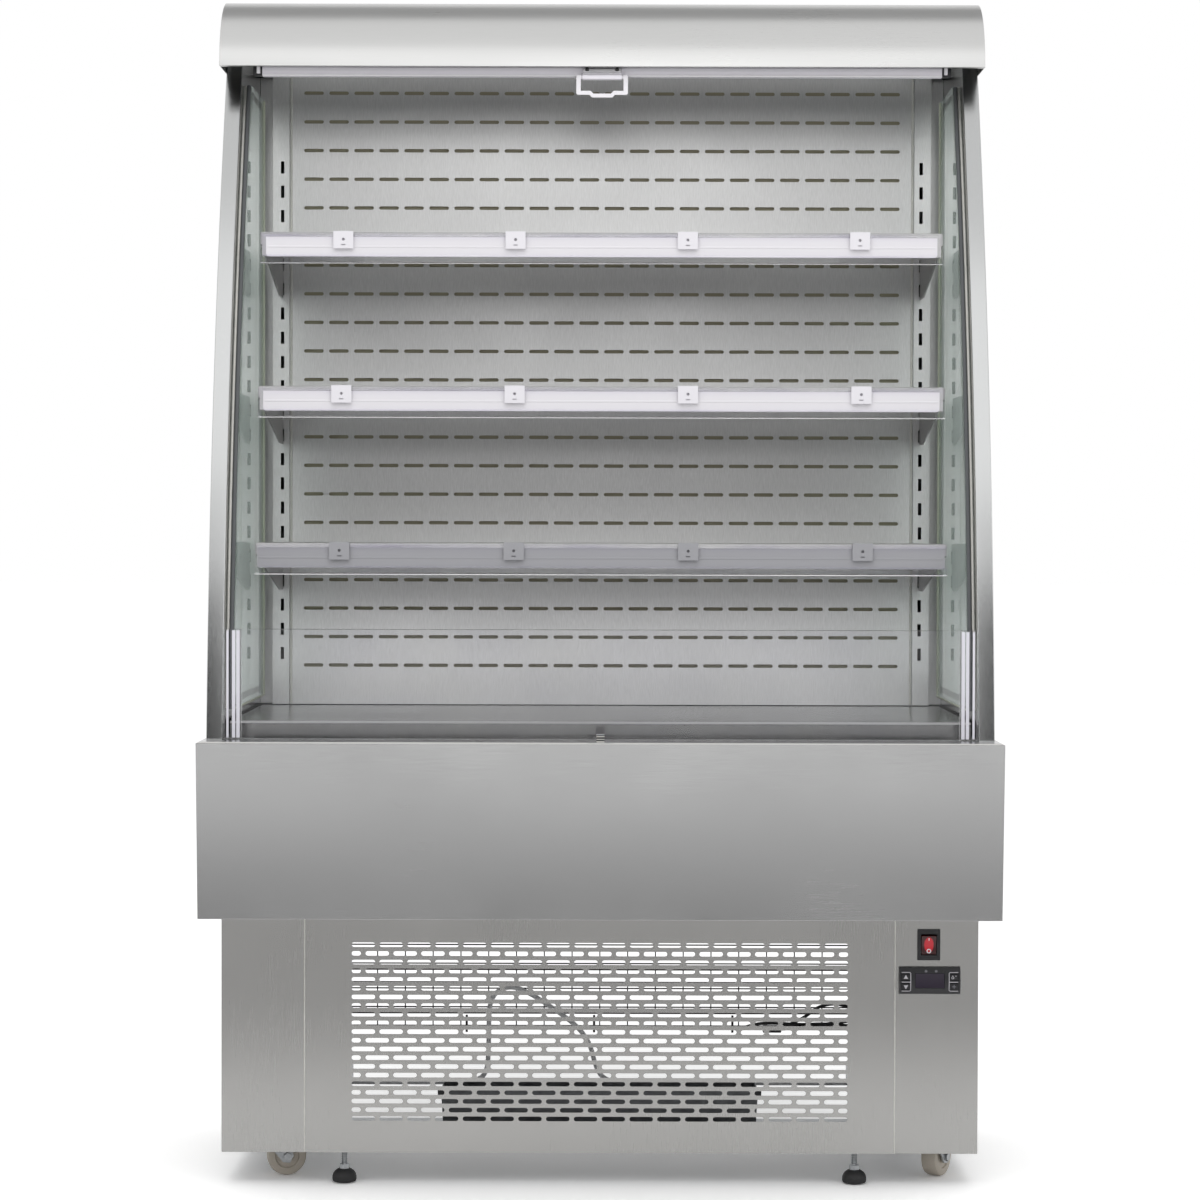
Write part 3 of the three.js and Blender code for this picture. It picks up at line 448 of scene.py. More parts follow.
# plated, drawn and bare metal: dull and cloudy; the two pale edge finishes are painted highlights where a cut
# or folded edge catches the light
# a lighter copy of the stainless: painted highlight on edges, folds and ridges
HIGHLIGHT_STEEL = ZincPlate("edge_stainless_painted_highlight", "steel", "cfcec8", 0.5, 12.0, "e0dfda")
ZINC = ZincPlate("zinc_plated_steel", "zinc", "9a9da0", 0.38)
DARK_WIRE = ZincPlate("dark_drawn_wire", "zinc", "2a2022", 0.5, 12.0, "3a2e30")
GALVANISED_TRAY = ZincPlate("galvanised_tray_steel", "zinc", "5f6163", 0.5, 14.0, "7f8183")
DRAWN_ALUMINIUM = ZincPlate("drawn_aluminium", "aluminium", "a9abad", 0.33, 20.0)
# a pale non-metal standing for the bright line along rolled hems: painted highlight
GLINT_EDGE = MouldedPlastic("rolled_edge_painted_highlight", "steel", "bcbbb9", 0.35, 8.0, 0.005)
SPACER = PerforatedSpacer("perforated_spacer_aluminium", "side_glass", "c4c5c0", 0.5)
# glass, acrylic and clear PVC: only their edges and what they mirror show
FLOAT_GLASS = ClearSheet("float_glass_pane", "side_glass", "f4faf8", 0.0, 1.52, 0.5, 0.3)
ACRYLIC = ClearSheet("clear_acrylic_pane", "clear_plastic", "f8f8fb", 0.0, 1.49, 0.2)
CLEAR_PVC = ClearSheet("clear_pvc_label_strip", "clear_plastic", "f3f2f7", 0.0, 1.42)
# pale and grey pieces: even colour, silky from the mould's grain or the paper's
# pale opaque strips on the clear pane posts: painted highlights
GLINT_ACRYLIC = MouldedPlastic("acrylic_post_painted_highlight", "clear_plastic", "dddce4", 0.2, 30.0, 0.002)
LABEL_CARD = MouldedPlastic("blank_white_label_card", "clear_plastic", "dfdde1", 0.45, 0.5, 0.005)
# a darkened copy of the white card for the lower shelf: painted shade
SHADED_CARD = MouldedPlastic("label_card_painted_shade", "clear_plastic", "9b9b9f", 0.45, 0.5, 0.005)
WHITE_ABS = MouldedPlastic("white_moulded_abs", "white_plastic", "e8e6ea", 0.38)
CLIP_ABS = MouldedPlastic("milky_moulded_abs", "clear_plastic", "e2e0e5", 0.35)
LILAC_PVC = MouldedPlastic("grey_lilac_extruded_pvc", "white_plastic", "efecf3", 0.4, 2.0, 0.01)
BEIGE_NYLON = MouldedPlastic("beige_moulded_nylon", "nylon", "c2b9ac", 0.45)
BEAD = MouldedPlastic("pale_green_glazing_bead", "side_glass", "c9cbb9", 0.5, 1.5, 0.01)
GREY_PIPE = MouldedPlastic("grey_sleeved_steel_pipe", "zinc", "e4e5e7", 0.5, 2.0, 0.01)
SLOT_BROWN = MouldedPlastic("brown_grey_rear_liner", "steel", "9c9680", 0.7, 2.0, 0.01)
BLIND_CLOTH = WovenFoilBlind("aluminised_blind_cloth", "blind", "b7b7ba", 0.5)
# dark pieces: rubber is dull, moulded ABS and cable half dull, enamel and the display pane shine
GASKET = MouldedPlastic("dark_glazing_gasket", "side_glass", "5a5c5e", 0.6, 1.5, 0.01)
BLACK_RUBBER = MouldedPlastic("black_moulded_rubber", "foot_black", "252526", 0.62, 0.7, 0.04)
BLACK_ABS = MouldedPlastic("black_moulded_abs", "black_plastic", "232326", 0.42)
BLACK_CABLE = MouldedPlastic("black_pvc_cable_jacket", "black_plastic", "1e1e20", 0.5, 1.5, 0.01)
BLACK_ENAMEL = MouldedPlastic("black_stoved_enamel", "black_paint", "1f1f21", 0.34, 2.5, 0.02)
DISPLAY_PANE = MouldedPlastic("violet_tinted_display_pane", "black_plastic", "2a2032", 0.12, 9.0, 0.0)
RED_POLYCARBONATE = LitRocker("red_polycarbonate_rocker", "red_plastic", "3c0a0e", 0.2)
# pad prints: flat, even ink
PALE_PRINT = MouldedPlastic("pale_grey_pad_print", "black_plastic", "c3c1c6", 0.5, 1.0, 0.0)
GREY_PRINT = MouldedPlastic("dark_grey_pad_print", "black_plastic", "77767c", 0.5, 1.0, 0.0)


# ---------------------------------------------------------------------------- bench tools
def only(*objects: Object) -> None:
    """Selects some objects and nothing else.

    Args:
        *objects: The objects; the first becomes the active one.
    """
    bpy.ops.object.select_all(action="DESELECT")
    for each in objects:
        each.select_set(True)
    bpy.context.view_layer.objects.active = objects[0]


def settle(piece: Object, name: str) -> Object:
    """Names a piece and puts its place into its mesh.

    Args:
        piece: The object to settle.
        name: Its final name.

    Returns:
        The same object, at the origin, unturned and unscaled.
    """
    only(piece)
    bpy.ops.object.transform_apply(location=True, rotation=True, scale=True)
    piece.name = name
    piece.data.name = name
    return piece


def block(name: str, low: Point, high: Point) -> Object:
    """Adds a block between two corners given in millimetres.

    Args:
        name: The piece's name.
        low: One corner; a side's sign may turn its X and that of the other round.
        high: The corner across from it.

    Returns:
        The new piece.
    """
    centre = [(a + b) / 2 * MM for a, b in zip(low, high)]
    bpy.ops.object.select_all(action="DESELECT")
    bpy.ops.mesh.primitive_cube_add(size=1, location=centre)
    piece = bpy.context.object
    piece.scale = [abs(b - a) * MM for a, b in zip(low, high)]
    return settle(piece, name)


def rod(name: str, start: Point, end: Point, radius: float, sides: int = 24) -> Object:
    """Adds a round bar between two points.

    Args:
        name: The piece's name.
        start: One end of its axis, in millimetres.
        end: The other end.
        radius: Its radius in millimetres.
        sides: How many flats it is drawn with.

    Returns:
        The new piece.
    """
    a, b = Vector(start) * MM, Vector(end) * MM
    bpy.ops.object.select_all(action="DESELECT")
    bpy.ops.mesh.primitive_cylinder_add(
        vertices=sides, radius=radius * MM, depth=(b - a).length, location=(a + b) / 2)
    piece = bpy.context.object
    piece.rotation_mode = "QUATERNION"
    piece.rotation_quaternion = (b - a).to_track_quat("Z", "Y")
    return settle(piece, name)


def turned(name: str, profile: Sequence[tuple[float, float]], sides: int = 48) -> Object:
    """Spins a profile round the Z axis.

    Args:
        name: The piece's name.
        profile: Radius and height of each point, in millimetres, from the bottom up on the outside.
        sides: Steps of the full turn.

    Returns:
        The new piece, on the Z axis.
    """
    bpy.ops.object.select_all(action="DESELECT")
    bpy.ops.mesh.primitive_circle_add(vertices=len(profile), radius=0.01)
    piece = settle(bpy.context.object, name)
    for vertex, (r, z) in zip(piece.data.vertices, profile):
        vertex.co = (r * MM, 0, z * MM)
    bpy.ops.object.mode_set(mode="EDIT")
    bpy.ops.mesh.select_all(action="SELECT")
    bpy.ops.mesh.spin(steps=sides, angle=2 * math.pi, center=(0, 0, 0), axis=(0, 0, 1))
    bpy.ops.mesh.select_all(action="SELECT")
    bpy.ops.mesh.remove_doubles(threshold=1e-6)
    bpy.ops.mesh.normals_make_consistent(inside=False)
    bpy.ops.object.mode_set(mode="OBJECT")
    return piece


def place(piece: Object, matrix: Matrix) -> Object:
    """Moves and turns a settled piece inside its mesh, so that its object stays at the origin.

    Args:
        piece: The piece.
        matrix: The move, in metres.

    Returns:
        The same piece.
    """
    piece.data.transform(matrix)
    piece.data.update()
    return piece


def joined(name: str, pieces: Sequence[Object]) -> Object:
    """Joins several pieces into one object.

    Args:
        name: The name of the whole.
        pieces: The pieces; the first one stays.

    Returns:
        The joined object.
    """
    only(*pieces)
    bpy.ops.object.join()
    whole = bpy.context.object
    whole.name = name
    whole.data.name = name
    return whole


def with_modifier(piece: Object, kind: str, **settings: Any) -> Object:
    """Adds a modifier with its settings and applies it.

    Args:
        piece: The piece to change.
        kind: The modifier's type.
        **settings: Its properties.

    Returns:
        The same piece.
    """
    only(piece)
    added = piece.modifiers.new(kind.lower(), kind)
    for key, value in settings.items():
        setattr(added, key, value)
    bpy.ops.object.modifier_apply(modifier=added.name)
    return piece


def eased(piece: Object, width: float, segments: int = 2) -> Object:
    """Rounds the sharp edges of a piece and shades it smoothly, with its large faces kept flat.

    Args:
        piece: The piece.
        width: The bevel's width in millimetres; 0 leaves the edges as they are.
        segments: Faces across the bevel.

    Returns:
        The same piece.
    """
    if width > 0:
        with_modifier(piece, "BEVEL", width=width * MM, segments=segments, limit_method="ANGLE",
                      angle_limit=SHARP, use_clamp_overlap=True, harden_normals=False)
    only(piece)
    bpy.ops.object.shade_smooth_by_angle(angle=CRISP)
    if width > 0:
        with_modifier(piece, "WEIGHTED_NORMAL", keep_sharp=True, weight=100)
    return piece


def cut_by(piece: Object, cutter: Object) -> Object:
    """Cuts one piece out of another.

    Args:
        piece: The piece to cut.
        cutter: What is taken out of it; it is deleted afterwards.

    Returns:
        The cut piece.
    """
    with_modifier(piece, "BOOLEAN", operation="DIFFERENCE", object=cutter, solver="EXACT")
    bpy.data.objects.remove(cutter, do_unlink=True)
    return piece


def opened_copy(node: str, name: str) -> Object:
    """Copies a CAD solid, merges its loose triangles and opens it in edit mode, selected all over.

    Args:
        node: The CAD node's name.
        name: The copy's name.

    Returns:
        The copy.
    """
    twin = bpy.data.objects.new(name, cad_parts[node].data.copy())
    bpy.context.scene.collection.objects.link(twin)
    only(twin)
    twin.data.materials.clear()
    bpy.ops.mesh.customdata_custom_splitnormals_clear()
    bpy.ops.object.mode_set(mode="EDIT")
    bpy.ops.mesh.select_all(action="SELECT")
    bpy.ops.mesh.remove_doubles(threshold=MERGE)
    return twin


def from_solid(node: str, width: float = 0.4, segments: int = 2) -> Object:
    """Copies a CAD solid, merges its faces and rounds its edges; the copy then stands for it.

    Args:
        node: The CAD node's name.
        width: The rounding in millimetres.
        segments: Faces across each rounding.

    Returns:
        The rounded copy.
    """
    twin = opened_copy(node, f"{node}_skin")
    bpy.ops.mesh.dissolve_limited(angle_limit=FLAT)
    bpy.ops.object.mode_set(mode="OBJECT")
    eased(twin, width, segments)
    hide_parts(node)
    return twin


def runs_deep(edge: Edge) -> bool:
    """Tells whether an edge runs from the front to the back."""
    return abs((edge.verts[0].co - edge.verts[1].co).normalized().y) > 0.99


def rounded(piece: Object, chosen: Callable[[Edge], bool], radius: float, segments: int) -> Object:
    """Rounds chosen edges of a piece in edit mode.

    Args:
        piece: The piece.
        chosen: Tells for each edge whether it is rounded.
        radius: The rounding in millimetres.
        segments: Faces across it.

    Returns:
        The same piece.
    """
    only(piece)
    bpy.ops.object.mode_set(mode="EDIT")
    bpy.ops.mesh.select_all(action="DESELECT")
    mesh = bmesh.from_edit_mesh(piece.data)
    for edge in mesh.edges:
        edge.select = chosen(edge)
    bmesh.update_edit_mesh(piece.data)
    bpy.ops.mesh.bevel(offset=radius * MM, segments=segments, affect="EDGES")
    bpy.ops.object.mode_set(mode="OBJECT")
    return piece


def slot_cutter(name: str, centre: Point, length: float, high: float, deep: float) -> Object:
    """Makes a round-ended cutter that goes through a sheet facing the front.

    Args:
        name: The cutter's name.
        centre: Its centre in millimetres.
        length: End to end along X.
        high: Its height along Z.
        deep: Its depth along Y.

    Returns:
        The cutter.
    """
    half = (length / 2, deep / 2, high / 2)
    low = tuple(c - h for c, h in zip(centre, half))
    piece = block(name, low, tuple(c + h for c, h in zip(centre, half)))
    return rounded(piece, runs_deep, high / 2 * 0.98, 3)  # just short of a full half round


def arrayed(piece: Object, count: int, step: Point) -> Object:
    """Repeats a piece along a straight line.

    Args:
        piece: The piece.
        count: How many there are in all.
        step: The offset from one to the next, in millimetres.

    Returns:
        The same object, holding all the copies.
    """
    return with_modifier(piece, "ARRAY", count=count, use_relative_offset=False, use_constant_offset=True,
                         constant_offset_displace=Vector(step) * MM)


def wire(name: str, points: Sequence[Point], radius: float, smooth: bool = True) -> Object:
    """Draws a round wire through points.

    Args:
        name: The piece's name.
        points: Points of its centre line in millimetres.
        radius: Its radius in millimetres.
        smooth: Whether it curves through the points or has straight runs.

    Returns:
        The wire as a mesh with closed ends.
    """
    bpy.ops.object.select_all(action="DESELECT")
    bpy.ops.curve.primitive_nurbs_path_add(radius=0.01)
    piece = bpy.context.object
    piece.location = (0, 0, 0)
    curve = piece.data
    curve.splines.clear()
    spline = curve.splines.new("NURBS" if smooth else "POLY")
    spline.points.add(len(points) - 1)
    for control, point in zip(spline.points, points):
        control.co = (*(Vector(point) * MM), 1.0)
    if smooth:
        spline.order_u = 3
        spline.use_endpoint_u = True
        curve.resolution_u = 6
    curve.dimensions = "3D"
    curve.bevel_depth = radius * MM
    curve.bevel_resolution = 3
    curve.use_fill_caps = True
    only(piece)
    bpy.ops.object.convert(target="MESH")
    return eased(settle(bpy.context.object, name), 0.0)


def flattened(piece: Object, y: float, share: float) -> Object:
    """Flattens a piece towards a plane that faces the front, as a print lies on a panel.

    Args:
        piece: The piece.
        y: The plane's place along Y in millimetres.
        share: How much of its depth is left.

    Returns:
        The same piece.
    """
    about = Matrix.Translation((0, y * MM, 0))
    return place(piece, about @ Matrix.Diagonal((1, share, 1, 1)) @ about.inverted())


def dressed(piece: Object, finish: Finish, body: str = "cabinet") -> Object:
    """Gives a new piece its finish and the body it rides on.

    Args:
        piece: The piece.
        finish: Its finish.
        body: The CAD body that it moves with.

    Returns:
        The same piece.
    """
    piece.data.materials.clear()
    piece.data.materials.append(finish.material())
    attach(piece, body)
    log.info("%s: %s, %d faces", piece.name, finish.name, len(piece.data.polygons))
    return piece


def paint(node: str, finish: Finish) -> None:
    """Gives a CAD node a finish and leaves its shape alone.

    Args:
        node: The node's name.
        finish: Its finish.
    """
    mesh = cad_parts[node].data
    mesh.materials.clear()
    mesh.materials.append(finish.material())
    log.info("%s: %s", node, finish.name)


# ---------------------------------------------------------------------------- cabinet
@dataclass
class Shell:
    """The steel outside: hood, end frames with their glazing, apron, back and roof."""

    bend: float = 0.5  # rounding of a sheet's folded edge
    hem_half: float = 477.0
    hem_rows: tuple[tuple[str, float], ...] = (("front", -319.0), ("rear", -309.0))  # with their Y
    hem_z: float = 575.0
    hem_radius: float = 0.9
    glass_outer: float = 467.5
    glass_inner: float = 447.5
    pane: float = 4.0
    pane_rim: float = 0.05  # how far a pane's cut lies inside the sealed space
    bar_play: float = 0.15  # between the spacer bar and a pane
    arc_radius: float = 2813.0
    arc_centre: tuple[float, float] = (2568.3, 329.83)  # of the end frames' front edge, along Y and Z
    window_low: float = 608.0
    window_high: float = 1396.0
    window_rear: float = 128.0
    bead_inset: float = 1.6  # from the window's edge to the middle of its bead
    bead_radius: float = 1.5
    rail_radius: float = 1.3
    rail_start: float = 3.4  # behind the lip
    seal_inset: float = 22.2  # behind the end frame's front edge
    seal_steps: int = 16
    # the lip is dressed in the pale edge steel: painted highlight
    seals: tuple[tuple[str, float, float, Finish], ...] = (
        ("gasket", 3.1, 2.6, GASKET), ("lip", 7.7, 2.0, HIGHLIGHT_STEEL),
    )  # with their reach from the inner pane's face and their radius

    def build(self) -> None:
        """Models and dresses the shell."""
        dressed(from_solid("canopy_hood", self.bend), HOOD_STEEL)
        dressed(from_solid("apron", self.bend), APRON_STEEL)
        for row, y in self.hem_rows:
            ends = (-self.hem_half, y, self.hem_z), (self.hem_half, y, self.hem_z)
            # the apron's hems carry a painted highlight
            dressed(rod(f"apron_{row}_hem", *ends, self.hem_radius, 12), GLINT_EDGE)
        dressed(from_solid("rear_panel", 1.0), FRAME_STEEL)
        dressed(from_solid("roof_panel", 0.6), LINER_STEEL)
        dressed(from_solid("tub", 1.0), LINER_STEEL)
        for side, sign in SIDES:
            dressed(from_solid(f"end_frame_{side}", 1.2, 3), FRAME_STEEL)
            self.glazing(side, sign)
            self.bead(side, sign)

    def glazing(self, side: str, sign: int) -> None:
        """Splits one glazing unit into its two panes and its spacer bar.

        Args:
            side: "right" or "left".
            sign: 1 or -1, for the side of the middle.
        """
        node = f"side_glass_{side}"
        outer, inner = self.glass_outer, self.glass_inner
        layers = {
            "pane_outer": (outer - self.pane - self.pane_rim, outer + 1, FLOAT_GLASS),
            "pane_inner": (inner - 1, inner + self.pane + self.pane_rim, FLOAT_GLASS),
            "spacer_bar": (inner + self.pane + self.bar_play, outer - self.pane - self.bar_play, SPACER),
        }
        for layer, (near, far, finish) in layers.items():
            layer_piece = self.sliced(node, f"{layer}_{side}", sign * near, sign * far)
            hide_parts(node)
            dressed(layer_piece, finish)

    def sliced(self, node: str, name: str, near: float, far: float) -> Object:
        """Copies what lies of a solid between two planes across X, with the cuts closed.

        Args:
            node: The CAD node's name.
            name: The slice's name.
            near: X of the inner plane in millimetres.
            far: X of the outer plane.

        Returns:
            The slice.
        """
        low, high = min(near, far), max(near, far)
        piece = opened_copy(node, name)
        bpy.ops.mesh.bisect(plane_co=(low * MM, 0, 0), plane_no=(1, 0, 0), use_fill=True, clear_inner=True)
        bpy.ops.mesh.select_all(action="SELECT")
        bpy.ops.mesh.bisect(plane_co=(high * MM, 0, 0), plane_no=(1, 0, 0), use_fill=True, clear_outer=True)
        bpy.ops.object.mode_set(mode="OBJECT")
        return eased(piece, 0.0)

    def arc_y(self, z: float, inset: float) -> float:
        """Finds where a line that follows the end frames' arched front edge lies.

        Args:
            z: Height in millimetres.
            inset: Distance behind that edge.

        Returns:
            The place along Y in millimetres.
        """
        radius = self.arc_radius - inset
        return self.arc_centre[0] - math.sqrt(radius**2 - (z - self.arc_centre[1]) ** 2)

    def bead(self, side: str, sign: int) -> None:
        """Runs a pale bead up the inner pane's rear edge and a dark gasket and a lip round its front; the lip
        is painted pale as a highlight.

        Args:
            side: "right" or "left".
            sign: 1 or -1, for the side of the middle.
        """
        low, high = self.window_low + self.bead_inset, self.window_high - self.bead_inset
        heights = [low + (high - low) * i / self.seal_steps for i in range(self.seal_steps + 1)]
        x, rear = sign * (self.glass_inner - 1.0), self.window_rear - self.bead_inset
        upright = [(x, rear, low), (x, rear, high)]
        dressed(wire(f"glazing_bead_{side}", upright, self.bead_radius, False), BEAD)
        for seal, reach, radius, finish in self.seals:
            arch = [(sign * (self.glass_inner + reach), self.arc_y(z, self.seal_inset), z) for z in heights]
            dressed(wire(f"glazing_{seal}_{side}", arch, radius, False), finish)
        rail = [(x, arch[0][1] + self.rail_start, low), (x, rear, low)]
        dressed(wire(f"glazing_rail_{side}", rail, self.rail_radius, False), BEAD)


@dataclass
class Interior:
    """What lines the cold space: slotted wall, uprights, deck, ceiling and air outlet."""

    slot_length: float = 26.2
    slot_high: float = 4.6
    slot_pitch: float = 33.36
    row_pitch: float = 38.1
    lowest_row: float = 648.0
    columns: int = 24
    rows: int = 21
    wall_face: float = 159.0
    fold_span: tuple[float, float] = (412.0, 415.1)  # of the wall's edge folds, painted pale as a highlight, along X
    # painted highlights on the clear pane posts: their spans along X and their faces along Y
    glint_spans: tuple[tuple[float, float], ...] = ((435.2, 439.4), (440.6, 444.6), (448.6, 451.4))
    glint_back: float = -246.05
    glint_front: float = -246.5
    hook_half: float = 4.7
    ridge_spans: tuple[tuple[float, float], ...] = ((583.2, 584.6), (580.1, 581.2), (577.0, 578.4))

    def build(self) -> None:
        """Models and dresses the lining."""
        self.wall()
        for side, _ in SIDES:
            dressed(from_solid(f"upright_{side}", 0.25, 1), LINER_STEEL)
        # the deck is dressed in a darkened copy of the stainless: painted shade
        dressed(from_solid("deck_pan", 1.2, 3), SHADED_DECK_STEEL)
        dressed(from_solid("ceiling_sheet", 0.3), LINER_STEEL)
        paint("air_outlet", DRAWN_ALUMINIUM)
        self.pane()
        self.hook()
        # the deck's front hem carries a painted highlight
        hem = block("deck_front_hem", (-451, -204.7, 592.2), (451, -204.05, 594.9))
        dressed(eased(hem, 0.2), GLINT_EDGE)
        self.folds()

    def pane(self) -> None:
        """Dresses the clear front pane and runs three pale strips down each of its end posts, painted
        highlights on the clear posts.
        """
        dressed(from_solid("clear_pane", 0.8, 3), ACRYLIC)
        for side, sign in SIDES:
            for number, (near, far) in enumerate(self.glint_spans):
                low, high = (sign * near, self.glint_front, 577.0), (sign * far, self.glint_back, 706.5)
                dressed(eased(block(f"pane_post_rib_{side}_{number}", low, high), 0.2), GLINT_ACRYLIC)

    def hook(self) -> None:
        """Dresses the catch hook and gives its nose a dark pad of painted shade for its grooves and three
        ridges painted pale as a highlight.
        """
        half = self.hook_half
        dressed(from_solid("catch_hook", 0.4), FRAME_STEEL)
        # a dark block on the nose: painted shade of the grooves between the ridges
        dressed(block("hook_groove_painted_shade", (-half, -318.5, 576.9), (half, -318.1, 585.4)), BLACK_ABS)
        spans = self.ridge_spans
        ridges = [block("ridge", (-half, -319.3, low), (half, -318.4, high)) for low, high in spans]
        # the ridges are painted pale: painted highlight
        dressed(eased(joined("hook_ridges", ridges), 0.25), HIGHLIGHT_STEEL)

    def wall(self) -> None:
        """Cuts the rows of round-ended air slots in the back wall and lines them."""
        wall = from_solid("wall_panel", 0.0)
        face, half = self.wall_face, self.fold_span[0]
        first = (-(self.columns - 1) / 2 * self.slot_pitch, face + 0.6, self.lowest_row)
        cutter = slot_cutter("wall_slots", first, self.slot_length, self.slot_high, 4.0)
        arrayed(cutter, self.columns, (self.slot_pitch, 0, 0))
        arrayed(cutter, self.rows, (0, 0, self.row_pitch))
        dressed(cut_by(wall, cutter), LINER_STEEL)
        liner = block("wall_slot_liner", (-half, face + 3.2, 600), (half, face + 4.0, 1430))
        dressed(eased(liner, 0.2), SLOT_BROWN)

    def folds(self) -> None:
        """Folds the wall's side edges forwards, as two upright strips painted pale as a highlight."""
        near, far = self.fold_span
        for side, sign in SIDES:
            low, high = (sign * near, self.wall_face - 1.3, 597), (sign * far, self.wall_face - 0.1, 1433)
            dressed(eased(block(f"wall_edge_fold_{side}", low, high), 0.5, 3), HIGHLIGHT_STEEL)


@dataclass
class Shelving:
    """Three shelves, their clear label strips, blank cards and the clips that hold them."""

    tops: tuple[float, ...] = (1199.6, 1006.5, 812.4)
    fronts: tuple[float, ...] = (-106.0, -134.0, -163.0)
    names: tuple[str, ...] = ("upper", "middle", "lower")
    card_halves: tuple[float, ...] = (418.5, 419.0, 423.0)
    clip_places: tuple[float, ...] = (-321.8, -107.3, 107.3, 321.8)
    strip_play: float = 0.3  # between the shelf's front edge and the strip
    strip_top: float = 1.0  # below the shelf's top face
    strip_high: float = 38.5
    card_front: float = 3.2  # before the strip's back
    card_thick: float = 0.9
    card_foot: float = 8.7  # above the strip's lower edge
    card_head: float = 5.3  # below its upper edge
    card_corner: float = 3.6
    clip_front: float = 6.6
    clip_half: float = 12.5
    eye_drop: float = 9.6
    eye_radius: float = 1.8
    dash_drop: float = 16.4

    def build(self) -> None:
        """Models and dresses all three shelves."""
        for name, top, front, half in zip(self.names, self.tops, self.fronts, self.card_halves):
            back = front - self.strip_play
            dressed(from_solid(f"shelf_{name}", 0.35), SHELF_STEEL)
            dressed(from_solid(f"label_strip_{name}", 0.2), CLEAR_PVC)
            self.card(name, top - self.strip_top, back - self.card_front, half)
            self.clips(name, top, back - self.clip_front)

    def card(self, name: str, top: float, face: float, half: float) -> None:
        """Slides a blank card with a raised mid crease and rounded corners into one strip.

        Args:
            name: The shelf's name.
            top: The strip's upper edge.
            face: The card's face along Y.
            half: Half the card's length.
        """
        low, high = top - self.strip_high + self.card_foot, top - self.card_head
        card = block(f"label_card_{name}", (-half, face, low), (half, face + self.card_thick, high))
        at_foot = (low + 1) * MM
        rounded(card, lambda edge: runs_deep(edge) and edge.verts[0].co.z < at_foot, self.card_corner, 5)
        middle = (low + high) / 2
        crease = block("crease", (-half + 2, face - 0.35, middle - 1.1), (half - 2, face + 0.2, middle + 1.1))
        whole = eased(joined(f"label_card_{name}", [card, eased(crease, 0.3)]), 0.0)
        # the lower shelf's card is grey for painted shade
        dressed(whole, SHADED_CARD if name == "lower" else LABEL_CARD)

    def clips(self, name: str, top: float, face: float) -> None:
        """Adds the four milky clips over the strip's upper lip, each with its small round eye; on the lower
        shelf they are grey for painted shade.

        Args:
            name: The shelf's name.
            top: Its top face.
            face: The clips' middle plane along Y.
        """
        # the lower shelf's clips are grey for painted shade
        finish = SHADED_CARD if name == "lower" else CLIP_ABS
        for number, x in enumerate(self.clip_places, 1):
            left, right = x - self.clip_half, x + self.clip_half
            low, high = (left, face - 0.7, top - 21), (right, face - 0.15, top + 0.6)
            tab = block(f"strip_clip_{name}_{number}", low, high)
            eye = top - self.eye_drop
            eye_hole = rod("eye", (x, face - 3, eye), (x, face + 3, eye), self.eye_radius, 20)
            dash = slot_cutter("dash", (x, face, top - self.dash_drop), 5.6, 1.2, 4)
            dressed(eased(cut_by(cut_by(tab, eye_hole), dash), 0.25), finish)


